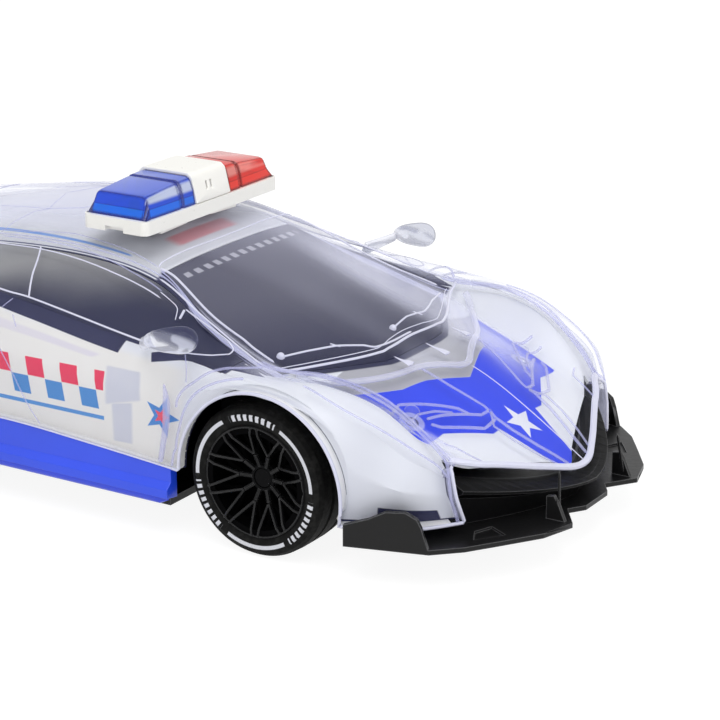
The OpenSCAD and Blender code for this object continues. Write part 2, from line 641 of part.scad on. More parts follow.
board_h = 1;
lamp_r = 1.5;
lamp_h = 3;
module light_bar_board() {
    color([0.2, 0.45, 0.25]) translate([bar_x, 0, bar_low + bar_tray + seat_gap]) {
        translate([-(bar_d - 8) / 2, -(bar_l - 8) / 2, 0]) cube([bar_d - 8, bar_l - 8, board_h]);
        for (y = [-22, -13, 13, 22]) translate([0, y, board_h]) {
            cylinder(lamp_h, r = lamp_r);
            translate([0, 0, lamp_h]) sphere(lamp_r);
        }
    }
}

// Battery compartment
module battery_door() {
    color([0.1, 0.1, 0.11]) translate([box_x - door_size[0] / 2, -door_size[1] / 2, floor_z])
        difference() {
            cube([door_size[0], door_size[1], door_h]);
            for (i = [0 : 3]) translate([door_size[0] / 2 - 9 + 6 * i, door_size[1] / 2 - 12, -eps])
                cube([2, 24, 0.6]);
        }
}
module battery_cells() {
    pip_r = 2.6;
    pip_l = 1;
    color([0.75, 0.6, 0.2]) for (i = [0 : cells - 1])
        translate([box_x - cell_l / 2, (i - (cells - 1) / 2) * (cell_d + cell_play),
            box_low + cell_d / 2 + 0.05])
            rotate([0, 90, 0]) {
                cylinder(cell_l - pip_l, r = cell_d / 2);
                translate([0, 0, cell_l - pip_l]) cylinder(pip_l, r = pip_r);
            }
}
module battery_contacts() {
    plate_t = 0.5;
    plate_h = 10;
    for (e = [-1, 1]) for (i = [0 : cells - 1]) color("silver")
        translate([box_x + e * (box_in[0] / 2 - seat_gap - plate_t / 2),
            (i - (cells - 1) / 2) * (cell_d + cell_play),
            box_low + box_in[2] / 2]) {
            cube([plate_t, plate_h, plate_h], center = true);
            rotate([0, -90 * e, 0]) cylinder(contact_l - seat_gap - plate_t / 2 - 0.1, r1 = 3.5, r2 = 2);
        }
}

// Gear train: motor pinion, compound idler, gear on the rear axle
axle_gear_y = 16.2;
axle_gear_w = 2.6;
big_gear_y = axle_gear_y + axle_gear_w + 0.6;
big_gear_w = 2;
pair_d = gear_m * (axle_teeth + idler_small_teeth) / 2;
motor_pair_d = gear_m * (idler_big_teeth + pinion_teeth) / 2;
idler_deg = 25;
motor_deg = 12;
idler_x = rear_x + pair_d * cos(idler_deg);
idler_z = axle_z + pair_d * sin(idler_deg);
motor_x = idler_x + motor_pair_d * cos(motor_deg);
motor_z = idler_z + motor_pair_d * sin(motor_deg);
gear_in_y = axle_gear_y - 0.5;
gear_out_y = big_gear_y + big_gear_w + 1;
gearbox_wall = 1.6;
gearbox_top = idler_z + gear_m * (idler_big_teeth + 2) / 2 + 1;

function involute(base, a) = base * [cos(a) + a * PI / 180 * sin(a), sin(a) - a * PI / 180 * cos(a)];
function turned(p, a) = [p[0] * cos(a) - p[1] * sin(a), p[0] * sin(a) + p[1] * cos(a)];
// Gear outline with involute flanks; one tooth is centred on the X axis
module gear_outline(teeth, gap = backlash, steps = 4) {
    pitch_r = gear_m * teeth / 2;
    base = pitch_r * cos(20);
    root = pitch_r - 1.2 * gear_m;
    tip = pitch_r + 0.9 * gear_m;
    roll = function(r) sqrt(max(pow(r / base, 2) - 1, 0)) * 180 / PI;
    lead = function(r) roll(r) - atan(roll(r) * PI / 180);
    half = 90 / teeth - gap / pitch_r * 90 / PI + lead(pitch_r);
    start = max(base, root);
    flank = [for (i = [0 : steps]) let (r = mix(start, tip, i / steps))
        turned(involute(base, roll(r)), -half)];
    tooth = concat([turned([root, 0], -half)], flank,
        [for (i = [steps : -1 : 0]) [flank[i][0], -flank[i][1]]], [turned([root, 0], half)]);
    polygon([for (k = [0 : teeth - 1]) each [for (p = tooth) turned(p, k * 360 / teeth)]]);
}
// Gear between two places across the car, turned about +Y by a phase angle, with a bore
module gear(x, z, y, width, teeth, phase, bore) {
    translate([x, y, z]) rotate([-90, 0, 0]) rotate([0, 0, phase]) linear_extrude(width) difference() {
        gear_outline(teeth);
        if (bore > 0) circle(bore);
    }
}
// Phase that puts a tooth, or a gap, towards a direction given from +X to +Z
function tooth_towards(deg) = -deg;
function gap_towards(deg, teeth) = -deg + 180 / teeth;

module axle_gear() {
    color([0.92, 0.92, 0.9])
        gear(rear_x, axle_z, axle_gear_y, axle_gear_w, axle_teeth, tooth_towards(idler_deg), axle_r + eps);
}
small_phase = gap_towards(idler_deg + 180, idler_small_teeth);
big_phase = tooth_towards(motor_deg);
module idler_gear() {
    color([0.92, 0.92, 0.9]) difference() {
        union() {
            gear(idler_x, idler_z, axle_gear_y - 0.2, big_gear_y - axle_gear_y + 0.2 + big_gear_w / 2,
                idler_small_teeth, small_phase, 0);
            gear(idler_x, idler_z, big_gear_y, big_gear_w, idler_big_teeth, big_phase, 0);
        }
        shaft_hole(idler_x, idler_z, shaft_r + run_gap);
    }
}
module motor_pinion() {
    color("gold") gear(motor_x, motor_z, big_gear_y - 0.3, big_gear_w + 0.6, pinion_teeth,
        gap_towards(motor_deg + 180, pinion_teeth), shaft_r + eps);
}
module idler_shaft() {
    color("silver") translate([idler_x, gear_in_y - gearbox_wall - 0.5, idler_z]) rotate([-90, 0, 0])
        cylinder(gear_out_y - gear_in_y + 2 * gearbox_wall + 1, r = shaft_r);
}
module rear_axle() {
    half_l = tyre_face_y - hub_depth - 0.5;
    color("silver") translate([rear_x, -half_l, axle_z]) rotate([-90, 0, 0]) cylinder(2 * half_l, r = axle_r);
}
module shaft_hole(x, z, r) {
    translate([x, gear_in_y - gearbox_wall - 1, z]) rotate([-90, 0, 0])
        cylinder(gear_out_y - gear_in_y + 2 * gearbox_wall + 2, r = r);
}
box_front_x = motor_x + 5;
box_rear_x = rear_x - gear_m * axle_teeth / 2 - 2;
motor_gap = 0.2;
module gearbox_housing() {
    color([0.15, 0.15, 0.16]) difference() {
        union() {
            for (y = [gear_in_y - gearbox_wall, gear_out_y]) translate([box_rear_x, y, deck_z + eps])
                cube([box_front_x - box_rear_x, gearbox_wall, gearbox_top - deck_z]);
            translate([box_rear_x, gear_in_y - gearbox_wall, deck_z + eps])
                cube([box_front_x - box_rear_x, gear_out_y - gear_in_y + 2 * gearbox_wall, 0.8]);
            translate([motor_x - motor_r + 1.5, gear_in_y - gearbox_wall - motor_l, deck_z + eps])
                cube([2 * motor_r - 3, motor_l + eps, motor_z - motor_flat_h / 2 - motor_gap - deck_z]);
        }
        shaft_hole(rear_x, axle_z, axle_r + run_gap);
        shaft_hole(idler_x, idler_z, shaft_r + seat_gap / 10);
        shaft_hole(motor_x, motor_z, shaft_r + 0.4);
    }
}
module gearbox_cover() {
    h = 1.4;
    color([0.2, 0.2, 0.22]) translate([box_rear_x, gear_in_y - gearbox_wall, gearbox_top + eps + seat_gap])
        cube([box_front_x - box_rear_x, gear_out_y - gear_in_y + 2 * gearbox_wall, h]);
}
module drive_motor() {
    y1 = gear_in_y - gearbox_wall - motor_gap;
    end_r = 3;
    color([0.7, 0.71, 0.73]) translate([motor_x, y1 - motor_l, motor_z]) rotate([-90, 0, 0]) {
        linear_extrude(motor_l - 1) intersection() {
            circle(motor_r);
            square([2 * motor_r, motor_flat_h], center = true);
        }
        translate([0, 0, motor_l - 1]) cylinder(1 - eps, r = end_r);
        translate([0, 0, motor_l - 1])
            cylinder(1 + motor_gap + gearbox_wall + gear_out_y - gear_in_y - 0.3, r = shaft_r);
    }
}

// Circuit board on the battery box
pcb = [40, 30, 1.4];
module circuit_board() {
    chip = [9, 7, 1.6];
    can_r = 2.5;
    can_h = 6;
    color([0.15, 0.4, 0.2]) translate([box_x, 0, box_top + seat_gap]) {
        translate([-pcb[0] / 2, -pcb[1] / 2, 0]) cube(pcb);
        translate([-4, -3, pcb[2] - eps]) cube(chip);
        for (y = [-9, 9]) translate([-13, y, pcb[2] - eps]) cylinder(can_h, r = can_r);
    }
}

// Steering: unit on the pan, lever, tie rod, knuckles under a cover
arm_low = axle_z + 2.6;
arm_top = axle_z + 5;
rod_gap = 0.3;
rod_low = arm_top + rod_gap;
rod_h = 2;
rod_x = front_x - arm_l;
rod_half_d = 3;
lever_x = rod_x - lever_l;
lever_h = 0.8;
lever_low = arm_top - lever_h;
unit_top = lever_low - slide_gap;
unit_size = [22, 28];
lever_post_r = 2;
pin_top = rod_low + rod_h + 0.6;
arm_drop = arm_l * (1 - cos(lock_deg));
module steering_unit() {
    color([0.12, 0.12, 0.13]) {
        translate([lever_x - unit_size[0] / 2 - 3, -unit_size[1] / 2, deck_z + eps])
            cube([unit_size[0], unit_size[1], unit_top - deck_z - eps]);
        translate([lever_x, 0, unit_top - eps])
            cylinder(lever_low + lever_h + 0.6 - unit_top, r = lever_post_r);
    }
}
module steering_lever() {
    hub_r = lever_post_r + 2;
    color([0.9, 0.9, 0.88]) difference() {
        union() {
            translate([lever_x, 0, lever_low]) cylinder(lever_h, r = hub_r);
            translate([lever_x, -arm_pin_r - 0.8, lever_low]) cube([lever_l, 2 * arm_pin_r + 1.6, lever_h]);
            translate([rod_x, 0, lever_low]) cylinder(lever_h, r = arm_pin_r + 0.8);
            translate([rod_x, 0, lever_low]) cylinder(pin_top - lever_low, r = arm_pin_r);
        }
        translate([lever_x, 0, lever_low - 1]) cylinder(lever_h + 2, r = lever_post_r + run_gap);
    }
}
// Slot for a pin that swings along the car as the rod moves across it
module rod_slot(y, ahead) {
    r = arm_pin_r + run_gap;
    translate([rod_x, y, rod_low - 1]) linear_extrude(rod_h + 2) {
        circle(r);
        translate([ahead, 0]) circle(r);
        translate([min(0, ahead), -r]) square([abs(ahead), 2 * r]);
    }
}
module tie_rod() {
    end = arm_pin_r + 0.9;
    color([0.9, 0.9, 0.88]) difference() {
        translate([rod_x - rod_half_d, -king_y - end, rod_low])
            cube([2 * rod_half_d, 2 * king_y + 2 * end, rod_h]);
        for (y = [-king_y, king_y]) rod_slot(y, arm_drop + slide_gap);
        rod_slot(0, -arm_drop - slide_gap);
    }
}
screw_bore = 0.02;
hub_back = 4;
module knuckle() {
    color([0.13, 0.13, 0.14]) difference() {
        union() {
            translate([front_x, king_y, king_low]) cylinder(cover_z + cover_h - 0.3 - king_low, r = king_r);
            translate([front_x, king_y, axle_z - knuckle_half_h])
                cylinder(2 * knuckle_half_h, r = king_boss_r);
            translate([front_x, king_y, axle_z]) rotate([-90, 0, 0])
                cylinder(king_inset + hub_back - 0.5, r = king_boss_r - 0.2);
            translate([rod_x, king_y - arm_pin_r - 1, arm_low])
                cube([arm_l, 2 * arm_pin_r + 2, arm_top - arm_low]);
            translate([rod_x, king_y, arm_low]) cylinder(arm_top - arm_low, r = arm_pin_r + 1);
            translate([rod_x, king_y, arm_low]) cylinder(pin_top - arm_low, r = arm_pin_r);
        }
        translate([front_x, king_y - 1.5, axle_z]) rotate([-90, 0, 0])
            cylinder(king_inset + hub_back + 4, r = axle_r + screw_bore);
    }
}
module left_knuckle() { knuckle(); }
module right_knuckle() { mirror([0, 1, 0]) knuckle(); }
module steering_cover() {
    end_y = king_y + king_boss_r;
    color([0.1, 0.1, 0.11]) difference() {
        union() {
            translate([front_x - cover_half_d, -end_y, cover_z]) cube([2 * cover_half_d, 2 * end_y, cover_h]);
            both() translate([front_x, cover_post_y, deck_z + eps])
                cylinder(cover_z - deck_z, r = cover_post_r);
        }
        both() translate([front_x, king_y, cover_z - 1]) cylinder(cover_h + 2, r = king_r + run_gap);
    }
}

// Wheels, drawn along +Z from the inner face and turned to the axle
module on_axle(x, side) {
    translate([x, side * tyre_back_y, axle_z]) rotate([-90 * side, 0, 0]) children();
}
groove_d = 0.9;
groove_w = 1.4;
module tyre_profile() {
    r = tyre_d / 2;
    w = tyre_w;
    groove = function(z) [[r, z - groove_w / 2], [r - groove_d, z - groove_w / 2 + 0.2],
        [r - groove_d, z + groove_w / 2 - 0.2],
        [r, z + groove_w / 2]];
    polygon(concat([[rim_r, 0.9], [rim_r + 1.4, 0.2], [r - 2.6, 0], [r - 1, 0.8], [r - 0.2, 2.2]],
        groove(w / 3), groove(2 * w / 3),
        [[r - 0.2, w - 2.2], [r - 1, w - 0.8], [r - 2.6, w], [rim_r + 1.4, w - 0.2], [rim_r, w - 0.9]]));
}
module tyre(x, side) {
    color([0.08, 0.08, 0.08]) on_axle(x, side) rotate_extrude($fn = 72) tyre_profile();
}
spoke_h = 1.8;
fork_r = 7;
hub_r = 3.4;
spoke_w = 1.2;
leg_w = 0.9;
fork_share = 0.4;
module spoke_pattern() {
    rim_in = rim_r - rim_wall + 0.3;
    leg_deg = 360 / spokes * fork_share;
    circle(hub_r + 0.4);
    for (i = [0 : spokes - 1]) rotate(i * 360 / spokes) {
        translate([hub_r - 0.5, -spoke_w / 2]) square([fork_r - hub_r + 0.8, spoke_w]);
        for (e = [-1, 1]) let (out = [cos(e * leg_deg), sin(e * leg_deg)], across = [-out[1], out[0]])
            polygon([[fork_r - 0.5, -leg_w / 2], [fork_r, leg_w / 2],
            rim_in * out + leg_w / 2 * across, rim_in * out - leg_w / 2 * across]);
    }
}
rim_fit = 0.05;
head_r = 2.4;
head_h = 1.2;
hub_face = tyre_w - hub_depth;
module rim(x, side, bore, head) {
    r = rim_r - rim_fit;
    color([0.1, 0.1, 0.11]) on_axle(x, side) difference() {
        union() {
            rotate_extrude($fn = 72) polygon([[r - rim_wall, 1], [r, 1], [r, tyre_w - 0.6],
                [r - rim_wall - 0.6, tyre_w - 0.6],
                [r - rim_wall, tyre_w - 1.6]]);
            translate([0, 0, hub_face - spoke_h]) linear_extrude(spoke_h) spoke_pattern();
            translate([0, 0, hub_back]) cylinder(hub_face + 0.8 - hub_back, r = hub_r);
        }
        translate([0, 0, hub_back - 1]) cylinder(tyre_w, r = bore);
        if (head > 0) translate([0, 0, hub_face + 0.8 - head_h - 0.3]) cylinder(tyre_w, r = head);
    }
}
module wheel_screw(side) {
    low = -king_inset - 1;
    color("silver") on_axle(front_x, side) {
        translate([0, 0, low]) cylinder(hub_face + 0.8 - head_h - low, r = axle_r);
        translate([0, 0, hub_face + 0.8 - head_h]) cylinder(head_h - 0.2, r = head_r);
    }
}
module left_wheel_screw() { wheel_screw(1); }
module right_wheel_screw() { wheel_screw(-1); }
module front_left_tyre() { tyre(front_x, 1); }
module front_right_tyre() { tyre(front_x, -1); }
module rear_left_tyre() { tyre(rear_x, 1); }
module rear_right_tyre() { tyre(rear_x, -1); }
module front_left_rim() { rim(front_x, 1, axle_r + run_gap, head_r + slide_gap); }
module front_right_rim() { rim(front_x, -1, axle_r + run_gap, head_r + slide_gap); }
module rear_left_rim() { rim(rear_x, 1, axle_r + eps, 0); }
module rear_right_rim() { rim(rear_x, -1, axle_r + eps, 0); }

// Power switch: a body on the pan and a knob that slides in its slot
module switch_body() {
    size = [12, 8, 5];
    color([0.75, 0.76, 0.78])
        translate([switch_x + switch_travel / 2 - size[0] / 2, -size[1] / 2, deck_z + 1.4]) cube(size);
    color([0.75, 0.76, 0.78]) for (e = [-1, 1])
        translate([switch_x + switch_travel / 2 + e * 5 - 0.8, -size[1] / 2, deck_z + eps])
            cube([1.6, size[1], 1.4]);
}
module power_switch() {
    color([0.2, 0.2, 0.22]) translate([switch_x, 0, floor_z - 0.8]) {
        translate([-switch_knob[0] / 2, -switch_knob[1] / 2, 0])
            cube([switch_knob[0], switch_knob[1], pan_wall + 1.9]);
    }
}

// Body posts under the liner and the screws that hold them to the pan
module post(place) {
    top = post_top(place);
    n = body_normal(place[0], place[1]);
    drop = post_r * sqrt(1 - n[2] * n[2]) / n[2] + seat_gap / n[2];
    low = floor_z + pan_wall + boss_h + seat_gap;
    translate([top[0], top[1], low]) difference() {
        cylinder(top[2] - drop - low, r = post_r);
        translate([0, 0, -eps]) cylinder(8, r = post_hole_r);
    }
}
module body_posts() {
    color([0.86, 0.88, 0.97, 0.5]) both() for (p = post_places) post(p);
}
screw_bite = 6;
module body_screws() {
    color("silver") both() for (p = post_places) translate([post_top(p)[0], post_top(p)[1], floor_z + 0.6]) {
        cylinder(screw_head_h, r = screw_head_r);
        cylinder(boss_h + pan_wall + screw_bite, r = screw_r);
    }
}

chassis_tray();
front_bumper();
front_grille();
rear_bumper();
body_shell();
body_liner();
windscreen_film();
left_window_film();
right_window_film();
left_side_skirt();
right_side_skirt();
left_mirror();
right_mirror();
left_tail_light();
right_tail_light();
light_bar_base();
light_bar_bridge();
blue_lens();
red_lens();
light_bar_board();
battery_door();
battery_cells();
battery_contacts();
gearbox_housing();
gearbox_cover();
drive_motor();
circuit_board();
steering_unit();
steering_cover();
steering_lever();
tie_rod();
left_knuckle();
right_knuckle();
left_wheel_screw();
right_wheel_screw();
front_left_tyre();
front_right_tyre();
rear_left_tyre();
rear_right_tyre();
front_left_rim();
front_right_rim();
rear_left_rim();
rear_right_rim();
rear_axle();
axle_gear();
idler_gear();
idler_shaft();
motor_pinion();
switch_body();
power_switch();
body_posts();
body_screws();
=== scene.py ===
"""Toy police car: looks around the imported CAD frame, +X ahead, +Y to the car's left, +Z up. The scene is in
metres; shapes and prints are worked out in millimetres."""
import math

import bpy
import numpy as np
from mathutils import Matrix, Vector


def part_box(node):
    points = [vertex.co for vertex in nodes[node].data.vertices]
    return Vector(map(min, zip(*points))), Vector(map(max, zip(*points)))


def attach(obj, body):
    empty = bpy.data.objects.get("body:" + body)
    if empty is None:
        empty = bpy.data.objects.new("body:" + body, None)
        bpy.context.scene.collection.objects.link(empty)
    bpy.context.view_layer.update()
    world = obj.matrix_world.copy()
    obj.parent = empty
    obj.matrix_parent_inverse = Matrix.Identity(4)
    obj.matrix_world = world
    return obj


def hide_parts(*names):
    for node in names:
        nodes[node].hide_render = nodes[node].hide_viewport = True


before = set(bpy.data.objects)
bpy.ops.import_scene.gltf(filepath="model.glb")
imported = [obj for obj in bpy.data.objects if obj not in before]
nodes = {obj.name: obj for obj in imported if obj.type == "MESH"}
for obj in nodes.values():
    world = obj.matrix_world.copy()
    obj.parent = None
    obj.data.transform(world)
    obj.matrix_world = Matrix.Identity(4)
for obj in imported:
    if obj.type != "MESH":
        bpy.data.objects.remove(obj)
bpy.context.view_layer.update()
MM = 0.001


# Shader helpers

MIX_FACTOR, MIX_FIRST, MIX_SECOND, MIX_RESULT = 0, 6, 7, 2
STAR_POINTS, STAR_WAIST = 5, 0.42


class Value:
    """A socket of a finish. Operators on it add one Math node each; colours go through Finish.mix."""

    def __init__(self, finish, socket):
        self.finish, self.socket = finish, socket

    def math(self, operation, *others):
        """Math node with this value first."""
        node = self.finish.add("Math", {"operation": operation}, self, *others)
        return Value(self.finish, node.outputs[0])

    def flipped(self, operation, other):
        """Math node with this value second, for the reflected operators."""
        node = self.finish.add("Math", {"operation": operation}, other, self)
        return Value(self.finish, node.outputs[0])

    def __add__(self, other):
        return self.math("ADD", other)

    def __sub__(self, other):
        return self.math("SUBTRACT", other)

    def __rsub__(self, other):
        return self.flipped("SUBTRACT", other)

    def __mul__(self, other):
        return self.math("MULTIPLY", other)

    def __truediv__(self, other):
        return self.math("DIVIDE", other)

    def __rtruediv__(self, other):
        return self.flipped("DIVIDE", other)

    def __mod__(self, other):
        return self.math("FLOORED_MODULO", other)

    def __abs__(self):
        return self.math("ABSOLUTE")

    __radd__, __rmul__ = __add__, __mul__

    def min(self, other):
        return self.math("MINIMUM", other)

    def max(self, other):
        return self.math("MAXIMUM", other)

    def sqrt(self):
        return self.math("SQRT")

    def turn(self, run):
        """Angle in degrees of the point that lies run along and this value up."""
        return self.math("ARCTAN2", run) * (180 / math.pi)

    def over(self, edge, soft=0.1):
        """0 below the edge and 1 above it, with a soft step of that width."""
        low, high = edge - soft / 2, edge + soft / 2
        node = self.finish.add("MapRange", {"interpolation_type": "SMOOTHSTEP"}, self, low, high)
        return Value(self.finish, node.outputs[0])

    def under(self, edge, soft=0.1):
        """1 below the edge and 0 above it."""
        return 1 - self.over(edge, soft)

    def between(self, low, high, soft=0.1):
        """1 from low to high and 0 outside."""
        return self.over(low, soft) * self.under(high, soft)


class Finish:
    """A material built from nodes. add() makes any node: its type, its settings, then its inputs in order
    or by name, with an underscore for each space."""

    def __init__(self, name):
        self.material = bpy.data.materials.new(name)
        self.material.use_nodes = True
        self.tree = self.material.node_tree
        self.tree.nodes.clear()
        self.out = self.tree.nodes.new("ShaderNodeOutputMaterial")

    def add(self, kind, settings=None, *inputs, **named):
        node = self.tree.nodes.new("ShaderNode" + kind)
        for key, value in (settings or {}).items():
            setattr(node, key, value)
        pairs = [(node.inputs[i], v) for i, v in enumerate(inputs)]
        pairs += [(node.inputs[k.replace("_", " ")], v) for k, v in named.items()]
        for socket, value in pairs:
            self.feed(socket, value)
        return node

    def feed(self, socket, value):
        """Links a value or a socket to an input, or sets a number or colour on it."""
        if isinstance(value, Value):
            self.tree.links.new(value.socket, socket)
        elif isinstance(value, bpy.types.NodeSocket):
            self.tree.links.new(value, socket)
        elif value is not None:
            wide = socket.type == "RGBA" and len(value) == 3
            socket.default_value = (*value, 1) if wide else value

    def value(self, socket):
        return Value(self, socket)

    def place(self):
        """Object coordinates in millimetres as three values."""
        coordinate = self.add("TexCoord").outputs["Object"]
        split = self.add("SeparateXYZ", None, coordinate)
        return [self.value(o) * (1 / MM) for o in split.outputs]

    def grain(self, scale, detail=3.0, stretch=(1, 1, 1)):
        """Noise on Object coordinates, scale in features per metre, from 0 to 1."""
        coordinate = self.add("TexCoord").outputs["Object"]
        mapped = self.add("Mapping", None, Vector=coordinate, Scale=stretch).outputs[0]
        return self.value(self.add("TexNoise", None, Vector=mapped, Scale=scale, Detail=detail).outputs[0])

    def body_place(self):
        """Station along the body and place across it, from the piece's own UV map."""
        split = self.add("SeparateXYZ", None, self.add("UVMap", {"uv_map": "UVMap"}).outputs[0])
        along, across = (self.value(split.outputs[i]) for i in (0, 1))
        return along * float(LAST), (across - 0.5) * (2.0 * EDGE)

    def facing(self, blend):
        """How far a face turns away from the view: 0 face on, 1 at the outline."""
        return self.value(self.add("LayerWeight", None, Blend=blend).outputs["Facing"])

    def inside(self, x, y, corners, soft=0.05):
        """1 inside a convex outline, given as corners in order, and 0 outside: the product of one step per
        side."""
        sides = list(zip(corners, corners[1:] + corners[:1]))
        turn = sum(a[0] * b[1] - a[1] * b[0] for a, b in sides)
        mask = None
        for a, b in sides:
            run = math.hypot(b[0] - a[0], b[1] - a[1]) * math.copysign(1, turn)
            nx, ny = (a[1] - b[1]) / run, (b[0] - a[0]) / run
            step = (x * nx + y * ny).over(a[0] * nx + a[1] * ny, soft)
            mask = step if mask is None else mask * step
        return mask

    def star(self, x, y, radius, soft=0.2):
        """1 inside a star about the origin, one point along x: the angle is folded into half a point, where
        the outline is one straight line from the tip to the waist."""
        part = 360.0 / STAR_POINTS
        fold = abs((y.turn(x) + (360.0 + part / 2)) % part - part / 2) * (math.pi / 180)
        far = (x * x + y * y).sqrt()
        waist, half = STAR_WAIST * radius, math.pi / STAR_POINTS
        nx, ny = waist * math.sin(half), radius - waist * math.cos(half)
        size = math.hypot(nx, ny)
        reach = far * fold.math("COSINE") * (nx / size) + far * fold.math("SINE") * (ny / size)
        return reach.under(radius * nx / size, soft)

    def edges(self, radius, samples=6):
        """How far the normal rounded over a radius in metres turns from the true one: 0 on flats, more along
        edges."""
        rounded = self.add("Bevel", {"samples": samples}, Radius=radius).outputs[0]
        true = self.add("NewGeometry").outputs["True Normal"]
        same = self.add("VectorMath", {"operation": "DOT_PRODUCT"}, rounded, true).outputs["Value"]
        return 1 - self.value(same)

    def mix(self, factor, first, second):
        """Colour that goes from first to second as factor goes from 0 to 1."""
        node = self.add("Mix", {"data_type": "RGBA"})
        for index, value in ((MIX_FACTOR, factor), (MIX_FIRST, first), (MIX_SECOND, second)):
            self.feed(node.inputs[index], value)
        return node.outputs[MIX_RESULT]

    def layered(self, colour, layers):
        """Colour with layers of mask and tint laid over it in turn."""
        for mask, tint in layers:
            colour = self.mix(mask, colour, tint)
        return colour

    def bump(self, height, strength=0.2, distance=0.0003):
        """Normal of a surface raised by height, distance in metres."""
        return self.add("Bump", None, Height=height, Strength=strength, Distance=distance).outputs[0]

    def shader(self, **inputs):
        return self.add("BsdfPrincipled", None, **inputs).outputs[0]

    def clear(self, tint):
        """Shader that lets light straight through, tinted."""
        return self.add("BsdfTransparent", None, Color=tint).outputs[0]

    def blend(self, share, first, second):
        """Shader that goes from first to second as share goes from 0 to 1."""
        return self.add("MixShader", None, share, first, second).outputs[0]

    def done(self, shader):
        self.tree.links.new(shader, self.out.inputs[0])
        return self.material


def shaded(colour, share):
    """Colour times a share."""
    return tuple(share * c for c in colour)


def moulded(name, colour, roughness, grain=900, depth=0.15, vary=0.12, coat=0.0):
    """Moulded plastic: colour that varies a little, fine surface grain and roughness to match."""
    f = Finish(name)
    broad, fine = f.grain(35, detail=2), f.grain(grain, detail=2)
    return f.done(f.shader(
        Base_Color=f.mix(broad, shaded(colour, 1 - vary), colour), Coat_Weight=coat,
        Roughness=roughness * 0.8 + fine * (0.4 * roughness), Normal=f.bump(fine, depth, distance=0.0002)))


def turned_metal(name, colour, roughness):
    """Metal with fine lines and a slight change of tone."""
    f = Finish(name)
    lines = f.grain(2500, detail=2, stretch=(1, 0.05, 1))
    return f.done(f.shader(Base_Color=f.mix(lines, shaded(colour, 0.8), colour), Metallic=1.0,
                           Roughness=roughness + lines * 0.15))


# Mesh helpers

BEAD_TIP = 0.02


def piece(name, points, faces, finish, body="chassis", stands_for=(), sharp=40, slot=None, uv=None):
    """Mesh from an array of points (millimetres) and lists of face corners; unused points are dropped."""
    faces = [np.asarray(f) for f in faces if len(f)]
    used = np.unique(np.concatenate([f.ravel() for f in faces]))
    place = np.full(used.max() + 1, -1)
    place[used] = np.arange(len(used))
    mesh = bpy.data.meshes.new(name)
    corners = [row for f in faces for row in place[f].tolist()]
    mesh.from_pydata((np.asarray(points)[used] * MM).tolist(), [], corners)
    if uv is not None:
        layer = mesh.uv_layers.new(name="UVMap")
        index = np.empty(len(mesh.loops), np.int64)
        mesh.loops.foreach_get("vertex_index", index)
        layer.data.foreach_set("uv", np.asarray(uv)[used][index].astype(np.float32).ravel())
    mesh.shade_smooth()
    mesh.set_sharp_from_angle(angle=math.radians(sharp))
    mesh.materials.append(finish)
    made = bpy.data.objects.new(name, mesh)
    bpy.context.scene.collection.objects.link(made)
    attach(made, body)
    if stands_for:
        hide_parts(*stands_for)
    return made


def quads(nu, nv, around=False, back=False):
    """Corners of the cells of an nu by nv grid; around joins the last column to the first, back turns the
    faces round."""
    i, j = np.meshgrid(np.arange(nu - 1), np.arange(nv if around else nv - 1), indexing="ij")
    k = (j + 1) % nv
    cells = np.stack([i * nv + j, (i + 1) * nv + j, (i + 1) * nv + k, i * nv + k], -1).reshape(-1, 4)
    return cells[:, ::-1] if back else cells


def wall(top, under, keep=None):
    """Closed wall between two grids of points: both faces and the rims, over the cells where keep is true, or
    over all of them."""
    nu, nv = top.shape[:2]
    n = nu * nv
    keep = np.ones((nu - 1, nv - 1), bool) if keep is None else keep
    at = np.arange(n).reshape(nu, nv)
    a, b, e, d = at[:-1, :-1], at[1:, :-1], at[1:, 1:], at[:-1, 1:]
    padded = np.pad(keep, 1)
    faces = [np.stack([a, d, e, b], -1)[keep], np.stack([a, b, e, d], -1)[keep] + n]
    for (p, q), (di, dj) in (((a, d), (-1, 0)), ((e, b), (1, 0)), ((b, a), (0, -1)), ((d, e), (0, 1))):
        open_side = keep & ~padded[1 + di: di + nu, 1 + dj: dj + nv]
        faces.append(np.stack([q, p, p + n, q + n], -1)[open_side])
    return np.concatenate([top.reshape(-1, 3), under.reshape(-1, 3)]), faces


def frames_along(path):
    """Unit tangents of a path of points by central differences."""
    ahead = np.gradient(path, axis=0)
    return ahead / np.linalg.norm(ahead, axis=1, keepdims=True)


def end_caps(rows, sides):
    """Faces that close the first and the last ring of a tube of rows by sides points."""
    n = rows * sides
    return [np.arange(sides)[None, ::-1], np.arange(n - sides, n)[None]]


def bead(path, up, wide, high, sides=8):
    """Tube along a path on a surface: an ellipse, wide across the path and high along up, with ends drawn
    in to a point. up is one direction, or one for each point."""
    up = np.broadcast_to(up, path.shape)
    across = np.cross(frames_along(path), up)
    across /= np.linalg.norm(across, axis=1, keepdims=True)
    a = np.linspace(0, 2 * np.pi, sides, endpoint=False)
    grow = np.ones((len(path), 1))
    grow[0] = grow[-1] = BEAD_TIP
    wide, high = (np.broadcast_to(size, len(path))[:, None] * grow / 2 for size in (wide, high))
    sideways = across[:, None] * (wide * np.cos(a))[..., None]
    ring = path[:, None] + sideways + up[:, None] * (high * np.sin(a))[..., None]
    return ring.reshape(-1, 3), [quads(len(path), sides, around=True), *end_caps(len(path), sides)]


def joined(*parts):
    """Several point and face sets as one."""
    points, faces, start = [], [], 0
    for p, f in parts:
        points.append(np.asarray(p).reshape(-1, 3))
        faces += [np.asarray(x) + start for x in f]
        start += len(points[-1])
    return np.concatenate(points), faces


def mirrored(part):
    """The same set on the other side of the car, with its faces turned round."""
    points, faces = part
    return points * np.array([1, -1, 1]), [np.asarray(f)[:, ::-1] for f in faces]


